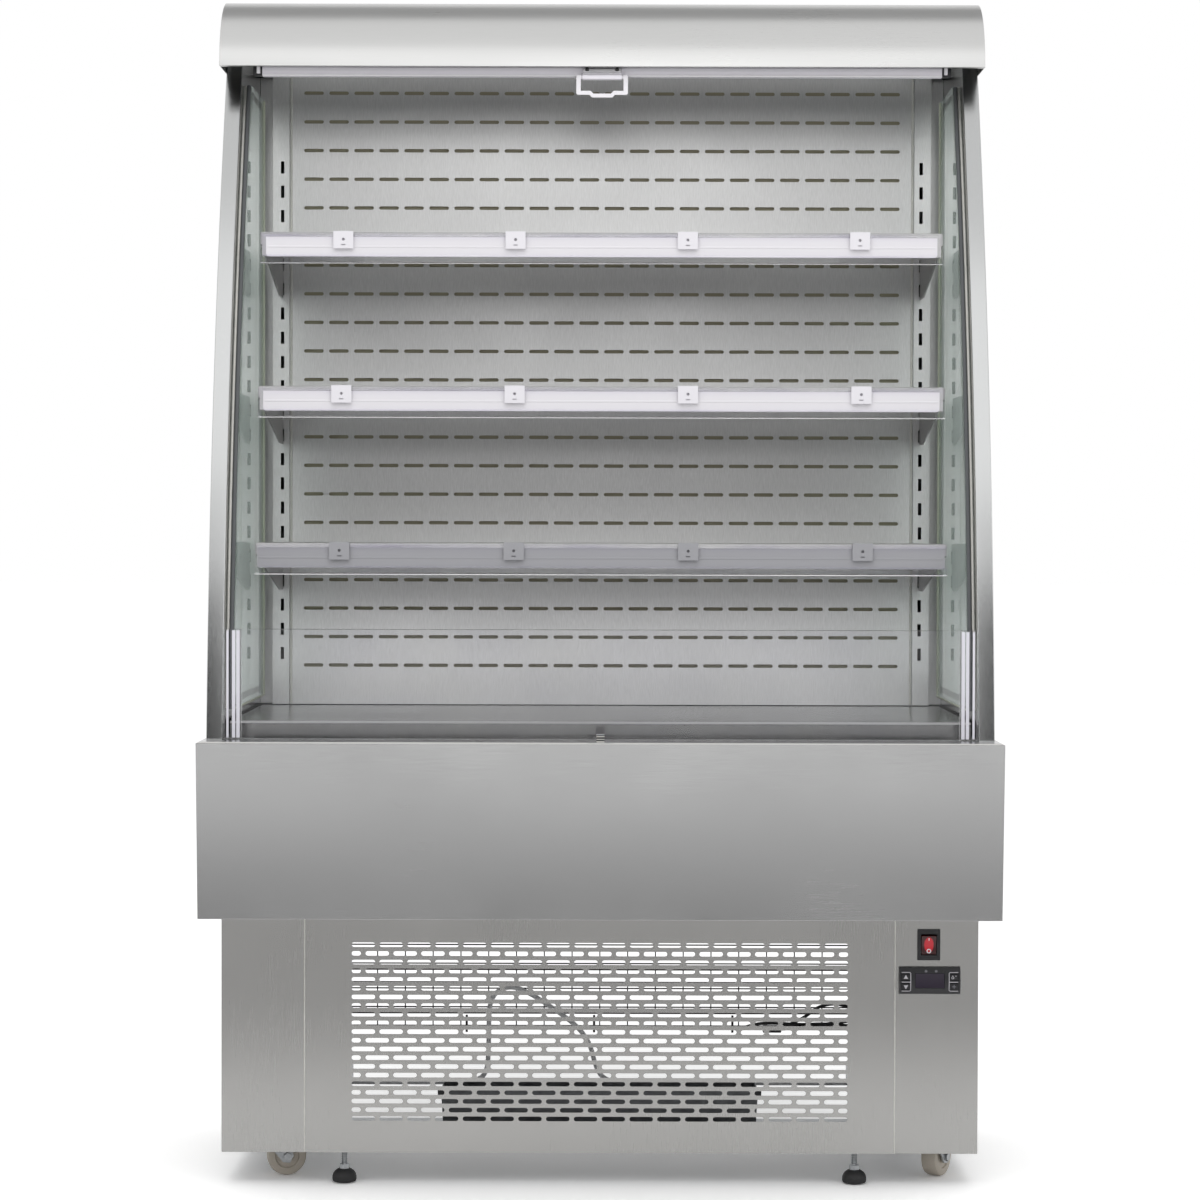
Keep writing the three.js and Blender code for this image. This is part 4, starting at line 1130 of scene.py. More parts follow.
# ---------------------------------------------------------------------------- night blind
@dataclass
class NightBlind:
    """The pull-down blind: roller, cloth, bottom bar with its metal clip, and the bail handle."""

    bar_y: float = -70.0
    bar_z: float = 1404.0
    roller_y: float = -47.0
    roller_z: float = 1449.0
    roll_half: float = 428.0
    roll_radius: float = 20.8
    cap_rim: float = 5.0
    cap_slope: float = 10.0
    cap_depth: float = 3.0
    cloth_middle: Point = (0, -0.0688, 1.42815)  # in metres, like its flat size
    cloth_flat: tuple[float, float] = (0.840, 0.0337)
    cloth_thick: float = 0.5
    cloth_cuts: int = 23
    clip_front: float = 9.6  # before the bar's middle
    clip_half: float = 24.4
    screw_x: float = 18.8
    lip_span: tuple[float, float] = (33.4, 426.6)
    end_span: tuple[float, float] = (427.4, 438.6)
    pin_x: float = 431.4

    def build(self) -> None:
        """Models and dresses the blind."""
        self.roller()
        self.cloth()
        dressed(from_solid("blind_bar", 0.5, 2), LILAC_PVC, "blind_bar")
        dressed(from_solid("pull_handle", 0.9, 3), WHITE_ABS, "pull_handle")
        self.clip()
        self.trim()

    def roller(self) -> None:
        """Models the roll of cloth with its end caps."""
        ends = [(x, self.roller_y, self.roller_z) for x in (-self.roll_half, self.roll_half)]
        roll = rod("blind_roll", *ends, self.roll_radius, 48)
        bpy.ops.object.mode_set(mode="EDIT")
        bpy.ops.mesh.select_all(action="DESELECT")
        mesh = bmesh.from_edit_mesh(roll.data)
        for face in mesh.faces:
            face.select = abs(face.normal.x) > 0.9
        bmesh.update_edit_mesh(roll.data)
        bpy.ops.mesh.inset(thickness=self.cap_rim * MM, use_individual=True)
        bpy.ops.mesh.inset(thickness=self.cap_slope * MM, depth=-self.cap_depth * MM, use_individual=True)
        bpy.ops.object.mode_set(mode="OBJECT")
        eased(roll, 0.0)
        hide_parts("blind_roller")
        dressed(roll, BLIND_CLOTH, "blind_roller")

    def cloth(self) -> None:
        """Hangs the cloth between the roller and the bar as a finely divided thin sheet."""
        bpy.ops.object.select_all(action="DESELECT")
        bpy.ops.mesh.primitive_plane_add(size=1, location=self.cloth_middle, rotation=(UPRIGHT, 0, 0))
        cloth = bpy.context.object
        cloth.scale = (*self.cloth_flat, 1)
        settle(cloth, "blind_drop")
        bpy.ops.object.mode_set(mode="EDIT")
        bpy.ops.mesh.select_all(action="SELECT")
        bpy.ops.mesh.subdivide(number_cuts=self.cloth_cuts)
        bpy.ops.object.mode_set(mode="OBJECT")
        with_modifier(cloth, "SOLIDIFY", thickness=self.cloth_thick * MM, offset=0)
        cloth.data.materials.append(BLIND_CLOTH.material())
        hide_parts("blind_cloth")
        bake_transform(cloth)
        log.info("blind_drop: cloth")

    def clip(self) -> None:
        """Adds the bright clip on the bar, ribbed, with its two screws."""
        half, front, z = self.clip_half, self.bar_y - self.clip_front, self.bar_z
        parts = [block("plate", (-half, front - 0.9, z - 10.4), (half, front + 0.6, z + 3.4))]
        for low, high in ((z - 1.6, z + 0.2), (z - 10.4, z - 7.6)):
            parts.append(block("ridge", (-half, front - 2.4, low), (half, front - 0.7, high)))
        dressed(eased(joined("bar_clip_plate", parts), 0.5, 3), CLIP_STEEL, "blind_bar")
        for side, sign in SIDES:
            x = sign * self.screw_x
            head = rod(f"clip_screw_{side}", (x, front - 2.2, z + 2.2), (x, front - 0.8, z + 2.2), 2.5)
            dressed(eased(head, 0.5), BLACK_ENAMEL, "blind_bar")

    def trim(self) -> None:
        """Adds the bar's pale lower lip and, at each end, a dark block with a white guide pin."""
        y, z = self.bar_y, self.bar_z
        for side, sign in SIDES:
            near, far = (sign * x for x in self.lip_span)
            lip = block(f"bar_lip_{side}", (near, y - 7.2, z - 6.2), (far, y - 5.6, z - 3.6))
            dressed(eased(lip, 0.5, 3), WHITE_ABS, "blind_bar")
        for side, sign in SIDES:
            near, far = (sign * x for x in self.end_span)
            end = block(f"bar_end_block_{side}", (near, y - 5, z - 5.6), (far, y + 5, z + 6.4))
            dressed(eased(end, 0.9, 3), BLACK_ABS, "blind_bar")
            x = sign * self.pin_x
            pin = rod(f"bar_guide_pin_{side}", (x, y - 8.4, z - 3.4), (x, y - 8.4, z + 5.2), 2.3)
            dressed(eased(pin, 0.7, 3), WHITE_ABS, "blind_bar")


# ---------------------------------------------------------------------------- machine base
@dataclass
class MachineBase:
    """The base: slotted front grille, corner panels, floor frame, wire guard and tray."""

    half: float = 371.6
    front: float = -81.0
    foot: float = 42.0
    head: float = 365.7
    sheet: float = 1.2
    return_depth: float = 16.0  # of the grille's folded side edges
    top_row: float = 305.0
    row_pitch: float = 11.0
    slot_pitch: float = 35.1
    slot_length: float = 29.7
    slot_high: float = 5.9
    stub: float = 11.7
    slots: int = 18
    rows: int = 21
    guard_half: float = 347.0
    guard_y: float = 313.2
    guard_low: float = 141.0
    guard_pitch: float = 8.66
    guard_wires: int = 24
    guard_radius: float = 0.95
    stud_places: tuple[float, ...] = (-184.7, -7.8, 184.3)
    knob_places: tuple[float, ...] = (-59.5, 60.0)
    hook_span: tuple[float, float] = (197.5, 206.0)

    def build(self) -> None:
        """Models and dresses the base."""
        self.grille()
        for side, _ in SIDES:
            dressed(from_solid(f"base_side_{side}", 0.5), BASE_STEEL)
        self.seams()
        dressed(from_solid("base_frame", 0.3), ZINC)
        paint("rear_wire_guard", DARK_WIRE)
        self.wires()
        dressed(from_solid("evaporation_tray", 0.4), GALVANISED_TRAY)
        self.tray_studs()

    def row(self, name: str, first: float, height: float, length: float, count: int, pitch: float) -> Object:
        """Makes the cutters of one row of slots.

        Args:
            name: The cutters' name.
            first: X of the first slot's middle.
            height: Z of the row.
            length: Length of a slot.
            count: How many slots there are.
            pitch: Distance from one to the next.

        Returns:
            The row's cutters in one object.
        """
        middle = (first, self.front + self.sheet / 2, height)
        return arrayed(slot_cutter(name, middle, length, self.slot_high, 4), count, (pitch, 0, 0))

    def grille(self) -> None:
        """Punches the offset rows of round-ended slots in the front panel."""
        half, back = self.half, self.front + self.sheet
        face = block("grille_face", (-half, self.front, self.foot), (half, back, self.head))
        long_x = -(self.slots - 1) / 2 * self.slot_pitch
        stub_x = (self.slots - 1) / 2 * self.slot_pitch + self.slot_length / 2 - self.stub / 2
        low = self.top_row - self.row_pitch
        two_down = (0, 0, -2 * self.row_pitch)
        lead = self.row("lead_slots", long_x, self.top_row, self.slot_length, self.slots, self.slot_pitch)
        arrayed(lead, (self.rows + 1) // 2, two_down)
        first = long_x + self.slot_pitch / 2
        offset = self.row("offset_slots", first, low, self.slot_length, self.slots - 1, self.slot_pitch)
        stub = self.row("stub_slots", -stub_x, low, self.stub, 2, 2 * stub_x)
        shifted = arrayed(joined("shifted_slots", [offset, stub]), self.rows // 2, two_down)
        cut_by(face, joined("grille_slots", [lead, shifted]))
        parts = [face]
        for _, sign in SIDES:
            near = (sign * (half - self.sheet), back, self.foot)
            far = (sign * half, self.front + self.return_depth, self.head)
            parts.append(block("edge", near, far))
        whole = eased(joined("grille_skin", parts), 0.0)
        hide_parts("grille_panel")
        dressed(whole, BASE_STEEL)

    def seams(self) -> None:
        """Lays the folded return of each corner panel against the grille, painted pale as a highlight line.
        """
        for side, sign in SIDES:
            near = (sign * (self.half + 0.1), self.front - 0.5, self.foot + 0.4)
            far = (sign * (self.half + 1.5), self.front + 0.6, self.head - 0.3)
            dressed(eased(block(f"corner_fold_{side}", near, far), 0.2), HIGHLIGHT_STEEL)

    def wires(self) -> None:
        """Adds the rear guard's fine cross wires and three short studs on its lowest one."""
        ends = [(x, self.guard_y, self.guard_low) for x in (-self.guard_half, self.guard_half)]
        cross = rod("rear_guard_cross_wires", *ends, self.guard_radius, 6)
        dressed(arrayed(cross, self.guard_wires, (0, 0, self.guard_pitch)), DARK_WIRE)
        for number, x in enumerate(self.stud_places, 1):
            stud = rod(f"rear_guard_stud_{number}", (x, 312.0, 132), (x, 312.0, 156), 1.6, 12)
            dressed(eased(stud, 0.4), DARK_WIRE)

    def tray_studs(self) -> None:
        """Stands two small clip knobs on the tray's front rim and hooks over its ends."""
        for number, x in enumerate(self.knob_places, 1):
            knob = rod(f"tray_knob_{number}", (x, -46.2, 114.2), (x, -46.2, 119.6), 3.2, 20)
            dressed(eased(knob, 0.8), BLACK_ABS)
        for side, sign in SIDES:
            near, far = (sign * x for x in self.hook_span)
            hook = block(f"tray_end_hook_{side}", (near, -49.6, 106.5), (far, -47.2, 117.0))
            dressed(eased(hook, 0.8), BLACK_ABS)


@dataclass
class Refrigeration:
    """Compressor, condenser and evaporator with their fans, pipe, drain and wiring."""

    pipe_route: tuple[Point, ...] = (
        (-361, 60, 107), (-320, 60, 106.5), (-190, 60, 106.5), (-160, 60, 108), (-147, 60, 120),
        (-145, 60, 150), (-145, 62, 184), (-144, 64, 212), (-132, 66, 228), (-112, 66, 231.5),
        (-92, 65, 223), (-68, 63, 208), (-46, 62, 193), (-26, 60, 177), (-12, 60, 156), (-6, 60, 130),
        (4, 60, 111), (28, 60, 106.5), (180, 60, 106.5), (320, 60, 106.5), (349.4, 60, 107),
    )
    cables: tuple[tuple[str, tuple[Point, ...]], ...] = (
        ("left_run", (
            (352, 40, 182), (300, 42, 188), (262, 40, 186), (226, 38, 189), (196, 38, 187), (178, 38, 178))),
        ("right_run", (
            (352, 40, 190), (322, 36, 192), (290, 36, 187), (262, 38, 184), (240, 38, 180), (214, 38, 181))),
        ("loop", (
            (352, 44, 196), (318, 44, 214), (286, 44, 211), (268, 42, 196), (246, 40, 186), (232, 38, 181))),
    )
    pipe_radius: float = 3.2
    cable_radius: float = 2.1

    def build(self) -> None:
        """Dresses the refrigeration pieces."""
        dressed(from_solid("compressor", 1.0), BLACK_ENAMEL)
        dressed(from_solid("condenser_coil", 0.2, 1), DRAWN_ALUMINIUM)
        dressed(from_solid("condenser_shroud", 0.4), ZINC)
        dressed(from_solid("drain_spout", 0.4), BLACK_ABS)
        for node in ("evaporator_coil", "evaporator_fan_plate"):
            paint(node, DRAWN_ALUMINIUM)
        for node in ("condenser_fan", "evaporator_fan_right", "evaporator_fan_left"):
            paint(node, BLACK_ABS)
        pipe = wire("discharge_pipe", self.pipe_route, self.pipe_radius)
        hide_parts("refrigerant_tube")
        dressed(pipe, GREY_PIPE)
        self.wiring()

    def wiring(self) -> None:
        """Hangs the cable runs and the plug connector that show behind the grille."""
        for name, route in self.cables:
            dressed(wire(f"cable_{name}", route, self.cable_radius), BLACK_CABLE)
        plug = block("cable_connector", (212, 33, 176.5), (236, 43, 185.5))
        dressed(eased(plug, 1.2, 3), BLACK_ABS)


# ---------------------------------------------------------------------------- controls
@dataclass
class Controls:
    """The rocker switch and the temperature controller on the right corner panel."""

    face: float = -81.3
    switch_x: float = 414.8
    switch_z: float = 307.0
    panel_x: float = 415.9
    panel_z: float = 262.0
    key_x: float = 30.4
    key_rows: tuple[float, float] = (4.4, -7.2)
    key_front: float = 6.9  # how far a key's cap stands before the panel
    line: float = 0.55  # half the width of a printed line
    display_half: tuple[float, float] = (18.3, 9.2)
    bulge_heights: tuple[float, ...] = (0.0, 8.75, 16.5, 17.5)  # of the controller's rounded front
    bulge_depths: tuple[float, ...] = (6.6, 6.0, 4.0, 0.0)
    bracket_reach: tuple[float, float] = (24.2, 35.6)
    bracket_arms: tuple[float, float, float] = (10.6, -1.5, -13.0)
    rocker_front: float = -81.6
    rocker_tilt: float = 7.0
    ring_lean: float = 9.5
    lamp_z: float = 12.0

    def build(self) -> None:
        """Models and dresses the controls."""
        dressed(from_solid("switch_bezel", 0.8, 3), BLACK_ABS)
        dressed(from_solid("controller_case", 0.6, 3), BLACK_ABS)
        dressed(from_solid("power_rocker", 0.8, 3), RED_POLYCARBONATE, "power_rocker")
        self.rocker_marks()
        for key in ("up", "down", "set", "defrost"):
            dressed(from_solid(f"key_{key}", 0.5), BLACK_ABS, f"key_{key}")
        (wide, high), x, z = self.display_half, self.panel_x, self.panel_z
        low, top = (x - wide, self.face - 5.4, z - high), (x + wide, self.face - 4.7, z + high)
        dressed(eased(block("display_pane", low, top), 0.3), DISPLAY_PANE)
        self.brackets()
        self.key_marks()
        self.lamps()

    def bulge(self, z: float) -> float:
        """Finds how far the controller's rounded front stands before the panel.

        Args:
            z: Height above the controller's middle in millimetres.

        Returns:
            The distance in millimetres.
        """
        steps = list(zip(self.bulge_heights, self.bulge_depths))
        for (low, deep), (high, shallow) in zip(steps, steps[1:]):
            if abs(z) <= high:
                return deep + (abs(z) - low) / (high - low) * (shallow - deep)
        return 0.0

    def printed(self, name: str, points: Sequence[tuple[float, float]], y: float | None = None) -> Object:
        """Draws one thin printed line on the controller.

        Args:
            name: Its name.
            points: X and Z of its corners from the controller's middle, in millimetres.
            y: Its place along Y, or nothing for the rounded front itself.

        Returns:
            The line.
        """
        route = []
        for x, z in points:
            route.append((self.panel_x + x, self.face - self.bulge(z) if y is None else y, self.panel_z + z))
        return wire(name, route, self.line, False)

    def rocker_marks(self) -> None:
        """Sets the I and the O in the rocker's face; they turn with it."""
        about = Matrix.Translation(Vector((self.switch_x, self.rocker_front, self.switch_z)) * MM)
        turn = about @ Matrix.Rotation(math.radians(self.rocker_tilt), 4, "X")
        bar = block("rocker_mark_on", (-0.55, -2.7, 5.9), (0.55, -2.0, 10.2))
        section = [(1.7, -0.25), (2.9, -0.25), (2.9, 0.25), (1.7, 0.25), (1.7, -0.25)]
        ring = turned("rocker_mark_off", section, 32)
        lean = Matrix.Rotation(UPRIGHT - math.radians(self.ring_lean), 4, "X")
        lay = Matrix.Translation(Vector((0, -2.65, -7.6)) * MM) @ lean
        for piece, matrix in ((bar, turn), (ring, turn @ lay)):
            dressed(eased(place(piece, matrix), 0.0), WHITE_ABS, "power_rocker")

    def brackets(self) -> None:
        """Prints the two three-armed brackets that frame the keys."""
        top, middle, bottom = self.bracket_arms
        bend = self.bulge_heights[1]
        for side, sign in SIDES:
            inner, outer = (sign * reach for reach in self.bracket_reach)
            corner = inner + sign * 1.2
            upright = [(inner, z) for z in (bottom + 1.2, -bend, middle, 0, bend, top - 1.2)]
            ring = [(outer, bottom), (corner, bottom), *upright, (corner, top), (outer, top)]
            dressed(flattened(self.printed(f"key_bracket_{side}", ring), self.face - 5.5, 0.96), PALE_PRINT)
            dressed(self.printed(f"key_bracket_arm_{side}", [(inner, middle), (outer, middle)]), PALE_PRINT)

    def key_marks(self) -> None:
        """Prints the up and down triangles and two plain symbols on the keys."""
        front = self.face - self.key_front
        for key, row, way in (("up", 0, 1), ("down", 1, -1)):
            centre = (self.panel_x - self.key_x, front - 0.05, self.panel_z + self.key_rows[row])
            mark = rod(f"{key}_triangle", (0, -0.12, 0), (0, 0.12, 0), 3.3, 3)
            self.point_up(mark, way * math.pi / 2)
            dressed(place(mark, Matrix.Translation(Vector(centre) * MM)), PALE_PRINT, f"key_{key}")
        strokes = {
            ("set_drop", "set"): ((-2.2, -1.8), (-3.1, -0.4), (-1.7, 2.4), (-0.3, -0.4), (-1.2, -1.8)),
            ("set_dot", "set"): ((1.6, 1.9), (3.0, 1.9)),
            ("defrost_bar", "defrost"): ((-2.4, 0), (2.4, 0)),
            ("defrost_cross", "defrost"): ((0, -2.4), (0, 2.4)),
        }
        for (name, key), stroke in strokes.items():
            z = self.key_rows[0 if key == "set" else 1]
            mark = self.printed(name, [(self.key_x + dx, z + dz) for dx, dz in stroke], front + 0.2)
            dressed(mark, PALE_PRINT if key == "set" else GREY_PRINT, f"key_{key}")

    def point_up(self, mark: Object, angle: float) -> None:
        """Turns a triangle about Y until one corner points the given way.

        Args:
            mark: The triangle, centred at the origin.
            angle: Direction of that corner in the XZ plane, in radians.
        """
        corner = max((v.co for v in mark.data.vertices), key=lambda co: co.x)
        now = math.atan2(corner.z, corner.x)
        place(mark, Matrix.Rotation(now - angle, 4, "Y"))

    def lamps(self) -> None:
        """Sets the three small state lamps above the display."""
        y, z = self.face - self.bulge(self.lamp_z), self.panel_z + self.lamp_z
        row = (-4.9, GREY_PRINT), (7.9, GREY_PRINT), (17.2, BLACK_RUBBER)
        for number, (dx, finish) in enumerate(row, 1):
            x = self.panel_x + dx
            lens = rod(f"state_lamp_{number}", (x, y - 0.35, z), (x, y + 0.5, z), 1.7)
            dressed(eased(lens, 0.3), finish)


# ---------------------------------------------------------------------------- running gear
@dataclass
class RunningGear:
    """Four castors and two levelling feet."""

    places: tuple[tuple[str, float, float, float], ...] = (
        ("front_left", -420.0, -14.0, 12.0),
        ("front_right", 424.0, -22.0, 58.0),
        ("rear_left", -420.0, 262.0, 30.0),
        ("rear_right", 424.0, 262.0, 40.0),
    )
    trail: float = 18.0
    wheel: float = 25.0
    foot_x: float = 324.0
    foot_y: float = -56.0
    wheel_side: tuple[tuple[float, float], ...] = (
        (3.4, 9.4), (8, 9.4), (8.6, 8.2), (14.6, 8.2), (15.6, 10.4), (21.6, 10.6), (23.8, 9.6), (24.9, 6.5),
    )  # radius and half width, from the axle outwards
    bolt_span: tuple[float, float] = (14.7, 17.8)  # from the wheel's middle plane
    bolt_radius: float = 5.6
    dome: tuple[tuple[float, float], ...] = (
        (0, 0.0), (11, 0.0), (14.6, 1.2), (15.4, 3.4), (15.4, 7.4), (14.6, 10.4), (12.6, 13.6), (9.4, 16.0),
        (7.6, 16.9), (0, 17.0),
    )  # radius and height of the foot's pad
    stem_foot: float = 16.5
    stem_top: float = 96.0
    thread_radii: tuple[float, float] = (3.9, 3.3)
    thread_start: float = 17.0
    thread_pitch: float = 3.0  # coarser than the real thread, so that it shows
    threads: int = 26

    def build(self) -> None:
        """Models and dresses the castors and feet."""
        for name, x, y, turn in self.places:
            here = Matrix.Translation(Vector((x, y, 0)) * MM) @ Matrix.Rotation(math.radians(turn), 4, "Z")
            dressed(from_solid(f"castor_fork_{name}", 0.3), ZINC, f"castor_{name}")
            self.castor_wheel(name, here)
            self.axle_bolt(name, here)
        for side, sign in SIDES:
            self.foot(side, sign)

    def castor_wheel(self, name: str, here: Matrix) -> None:
        """Turns one wheel with a rounded tread and a raised hub.

        Args:
            name: The castor's name.
            here: The castor's place and turn.
        """
        near = [(radius, -half) for radius, half in self.wheel_side]
        profile = [*near, (self.wheel, 0), *reversed(self.wheel_side)]
        wheel = turned(f"castor_wheel_{name}_skin", profile)
        lay = Matrix.Translation(Vector((self.trail, 0, self.wheel)) * MM) @ Matrix.Rotation(UPRIGHT, 4, "X")
        place(wheel, here @ lay)
        eased(wheel, 0.0)
        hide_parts(f"castor_wheel_{name}")
        dressed(wheel, BEIGE_NYLON, f"wheel_{name}")

    def axle_bolt(self, name: str, here: Matrix) -> None:
        """Adds the hexagon head and nut on one axle.

        Args:
            name: The castor's name.
            here: The castor's place and turn.
        """
        for end, sign in (("head", 1), ("nut", -1)):
            near, far = ((self.trail, sign * y, self.wheel) for y in self.bolt_span)
            hexagon = place(rod(f"axle_{end}_{name}", near, far, self.bolt_radius, 6), here)
            dressed(eased(hexagon, 0.5), ZINC, f"castor_{name}")

    def foot(self, side: str, sign: int) -> None:
        """Models one foot: dome pad, hexagon nut and threaded stem.

        Args:
            side: "right" or "left".
            sign: 1 or -1, for the side of the middle it stands on.
        """
        body = f"foot_{side}"
        here = Matrix.Translation(Vector((sign * self.foot_x, self.foot_y, 0)) * MM)
        pad = eased(place(turned(f"foot_pad_{side}", self.dome), here), 0.0)
        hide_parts(f"levelling_foot_{side}")
        dressed(pad, BLACK_RUBBER, body)
        crest, root = self.thread_radii
        profile = [(0, self.stem_foot), (crest, self.stem_foot)]
        for turn in range(self.threads):
            low = self.thread_start + turn * self.thread_pitch
            profile += [(crest, low), (root, low + self.thread_pitch / 2)]
        profile += [(crest, self.stem_top - 0.4), (0, self.stem_top)]
        stem = place(turned(f"foot_stem_{side}", profile, 24), here)
        dressed(eased(stem, 0.0), ZINC, body)
        nut = place(rod(f"foot_nut_{side}", (0, 0, 16.9), (0, 0, 23), 6.9, 6), here)
        dressed(eased(nut, 0.5), ZINC, body)


# ---------------------------------------------------------------------------- studio
@dataclass(frozen=True)
class Card:
    """A card that only the steel mirrors, as one of its bands: grey where dim, over 1 where bright."""

    name: str
    middle: Point  # metres
    size: tuple[float, float]
    grey: float
    tilt: float = UPRIGHT


@dataclass(frozen=True)
class Lamp:
    """A soft lamp that looks at the fridge's middle."""

    name: str
    spot: Point  # metres
    size: tuple[float, float]
    watts: float
    in_gloss: bool = True  # whether the steel mirrors it


@dataclass
class Studio:
    """White room, soft lamps and the camera at the photograph's place."""

    focal_px: float = 3100.0
    frame_px: float = 1200.0
    sensor_mm: float = 36.0
    distance: float = 3.982
    eye: float = 0.820
    horizon_up_px: float = 63.0
    roll_deg: float = 0.15
    yaw_px: float = 0.8
    aim: Point = (0.0, 0.0, 0.8)  # where the lamps look
    floor_grey: float = 0.75  # what it throws back at the fridge
    floor_white: float = 1.2  # what camera rays see, so that the lit floor comes out white
    shadow_lift: float = 0.06  # keeps the fridge's shadow on the floor a mid grey
    room_light: float = 0.8
    floor_in_steel: tuple[tuple[float, float], ...] = (
        (0.0, 1.0), (1.0, 1.05), (1.25, 0.12), (1.85, 0.34), (2.4, 0.85), (2.8, 1.35), (3.4, 1.7), (4.0, 0.4),
    )  # metres before the fridge, and how light the floor is in the steel's reflections
    bands: tuple[Card, ...] = (
        Card("left_flag", (-2.3, -5.4, 1.15), (3.0, 2.3), 0.04),
        Card("right_flag", (2.3, -5.4, 1.15), (3.0, 2.3), 0.04),
        Card("low_flag", (0, -5.4, 0.65), (1.6, 1.3), 0.06),
        Card("pale_card", (0, -5.4, 2.2), (1.4, 1.6), 2.3),
        Card("top_card", (0, 1.5, 4.2), (12.0, 2.6), 0.42, 0.0),
    )
    soft_lamps: tuple[Lamp, ...] = (
        Lamp("key", (-0.4, -3.3, 3.0), (5.0, 1.5), 10.0),
        Lamp("ceiling_light", (0.0, -2.2, 4.4), (4.0, 3.0), 85.0, False),
        Lamp("fill", (3.0, -2.6, 1.7), (1.6, 1.6), 6.0),
    )

    def build(self) -> None:
        """Sets up the camera, the floor, the world, the cards and the lamps."""
        self.camera()
        self.floor()
        self.world()
        self.cards()
        self.lamps()
        bpy.context.scene.view_settings.view_transform = "Standard"

    def camera(self) -> None:
        """Places the camera; its lens follows from the focal length in pixels."""
        data = bpy.data.cameras.new("camera")
        data.sensor_width = self.sensor_mm
        data.lens = self.focal_px / self.frame_px * self.sensor_mm
        data.clip_end = 100.0
        eye = bpy.data.objects.new("camera", data)
        bpy.context.scene.collection.objects.link(eye)
        yaw = Matrix.Rotation(math.atan(self.yaw_px / self.focal_px), 4, "Z")
        pitch = Matrix.Rotation(UPRIGHT - math.atan(self.horizon_up_px / self.focal_px), 4, "X")
        roll = Matrix.Rotation(math.radians(self.roll_deg), 4, "Z")
        eye.matrix_world = Matrix.Translation((0, -self.distance, self.eye)) @ yaw @ pitch @ roll
        bpy.context.scene.camera = eye

    def floor(self) -> None:
        """Adds the plain floor: white to the eye, and grey only where the fridge shades it."""
        bpy.ops.object.select_all(action="DESELECT")
        bpy.ops.mesh.primitive_plane_add(size=60, location=(0, 20, -0.0005))
        floor = settle(bpy.context.object, "floor")
        made = bpy.data.materials.new("white_floor")
        tree = blank(made)
        reach = self.floor_in_steel[-1][0]
        here = add_node(tree, "ShaderNodeNewGeometry").outputs["Position"]
        along = add_node(tree, "ShaderNodeSeparateXYZ", {0: here}).outputs["Y"]
        share = add_node(tree, "ShaderNodeMapRange", {"Value": along, "From Min": 0.0, "From Max": -reach})
        ramp = add_node(tree, "ShaderNodeValToRGB", {"Fac": share.outputs["Result"]})
        stops = ramp.color_ramp.elements
        for index, (metres, grey) in enumerate(self.floor_in_steel):
            stop = stops[0] if index == 0 else stops[-1] if metres == reach else stops.new(metres / reach)
            stop.color = (grey, grey, grey, 1)
        plain, mirrored, white = (
            add_node(tree, "ShaderNodeBsdfDiffuse", {"Color": tone}).outputs["BSDF"]
            for tone in ((*(self.floor_grey,) * 3, 1), ramp.outputs["Color"], (*(self.floor_white,) * 3, 1))
        )
        in_gloss = ray_is(tree, "Is Glossy Ray")
        steel = add_node(tree, "ShaderNodeMixShader", {0: in_gloss, 1: plain, 2: mirrored}).outputs["Shader"]
        lift = add_node(tree, "ShaderNodeEmission", {"Color": (1, 1, 1, 1), "Strength": self.shadow_lift})
        bare = add_node(tree, "ShaderNodeAddShader", {0: white, 1: lift.outputs["Emission"]})
        seen = ray_is(tree, "Is Camera Ray", "Is Transmission Ray")
        mixed = add_node(tree, "ShaderNodeMixShader", {0: seen, 1: steel, 2: bare.outputs["Shader"]})
        add_node(tree, "ShaderNodeOutputMaterial", {"Surface": mixed.outputs["Shader"]})
        floor.data.materials.append(made)

    def world(self) -> None:
        """Makes the world white to the eye, in gloss and in glass, and a little dimmer as a light."""
        world = bpy.data.worlds.new("white_room")
        bpy.context.scene.world = world
        tree = blank(world)
        seen = ray_is(tree, "Is Camera Ray", "Is Glossy Ray", "Is Transmission Ray")
        glow = {"Color": (1, 1, 1, 1)}
        light, white = (
            add_node(tree, "ShaderNodeBackground", {**glow, "Strength": strength}).outputs["Background"]
            for strength in (self.room_light, 1.0)
        )
        mixed = add_node(tree, "ShaderNodeMixShader", {0: seen, 1: light, 2: white})
        add_node(tree, "ShaderNodeOutputWorld", {"Surface": mixed.outputs["Shader"]})

    def cards(self) -> None:
        """Stands cards round the room that only show as the dim and bright bands in the steel."""
        for card in self.bands:
            bpy.ops.object.select_all(action="DESELECT")
            bpy.ops.mesh.primitive_plane_add(size=1, location=card.middle, rotation=(card.tilt, 0, 0))
            bpy.context.object.scale = (*card.size, 1)
            sheet = settle(bpy.context.object, card.name)
            made = bpy.data.materials.new(f"{card.name}_paint")
            tree = blank(made)
            glow = add_node(tree, "ShaderNodeEmission", {"Color": (*(card.grey,) * 3, 1), "Strength": 1.0})
            add_node(tree, "ShaderNodeOutputMaterial", {"Surface": glow.outputs["Emission"]})
            sheet.data.materials.append(made)
            sheet.visible_camera = sheet.visible_transmission = False
            sheet.visible_diffuse = sheet.visible_shadow = False

    def lamps(self) -> None:
        """Hangs a wide soft lamp high before the front, a ceiling light and a weaker one at the right."""
        for lamp in self.soft_lamps:
            data = bpy.data.lights.new(lamp.name, "AREA")
            data.shape = "RECTANGLE"
            data.size, data.size_y = lamp.size
            data.energy = lamp.watts
            hung = bpy.data.objects.new(lamp.name, data)
            bpy.context.scene.collection.objects.link(hung)
            hung.location = lamp.spot
            hung.visible_glossy = lamp.in_gloss
            hung.rotation_mode = "QUATERNION"
            hung.rotation_quaternion = (Vector(self.aim) - Vector(lamp.spot)).to_track_quat("-Z", "Y")


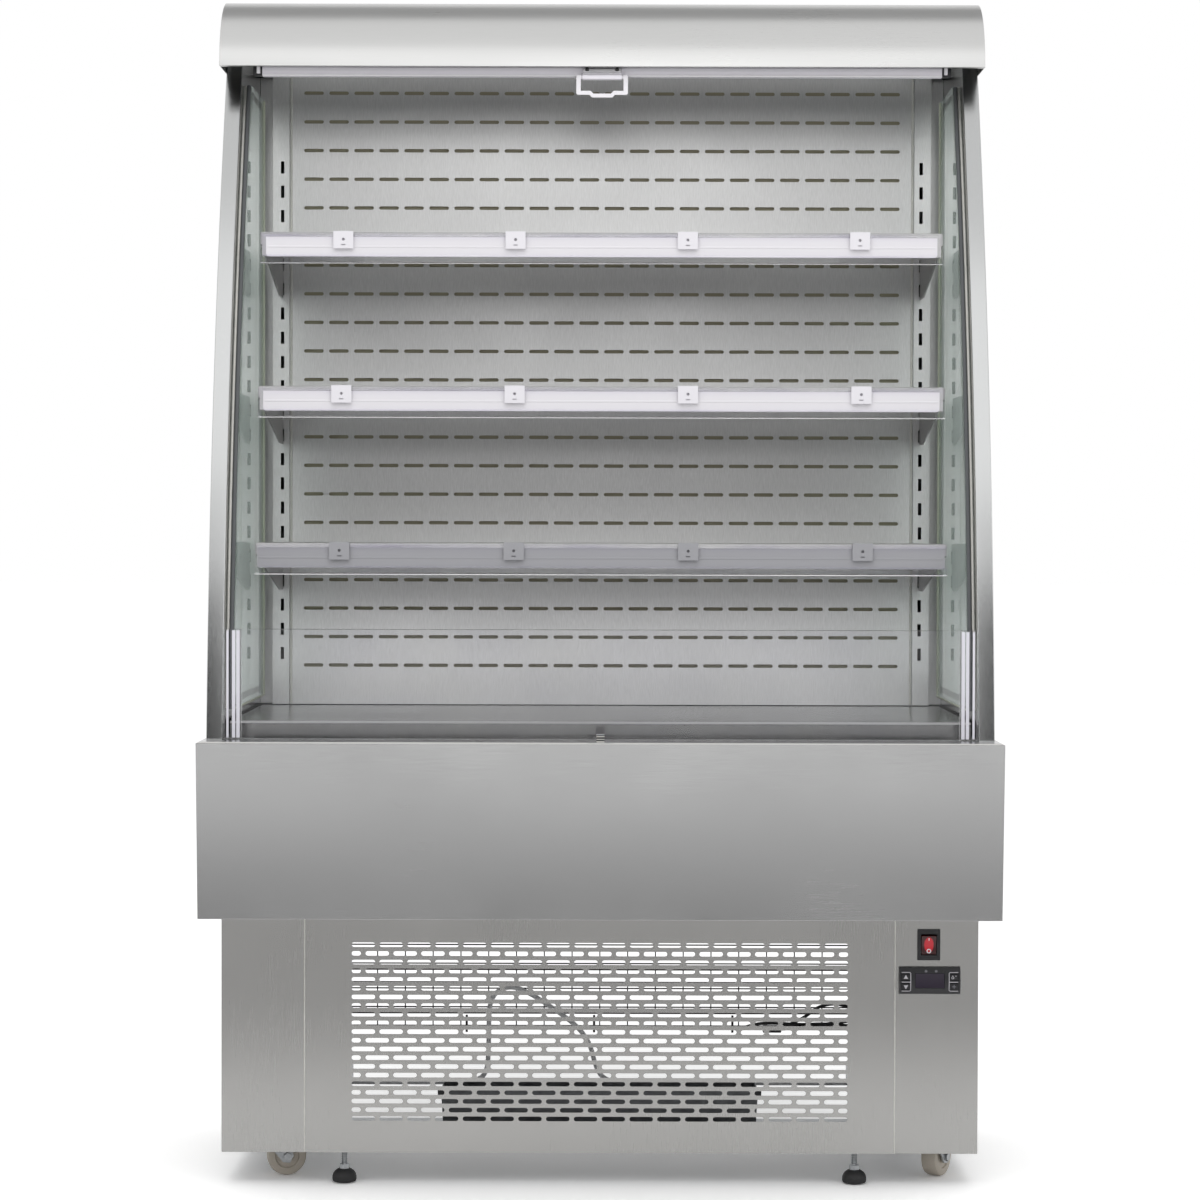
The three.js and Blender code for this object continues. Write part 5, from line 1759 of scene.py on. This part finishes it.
def main() -> None:
    """Builds the studio and every sub-assembly in order."""
    logging.basicConfig(level=logging.INFO, format="%(name)s %(message)s")
    parts = (
        Studio(), Shell(), Interior(), Shelving(), NightBlind(), MachineBase(), Refrigeration(), Controls(),
        RunningGear(),
    )
    for part in parts:
        log.info("building %s", type(part).__name__)
        part.build()


if __name__ == "__main__":
    main()
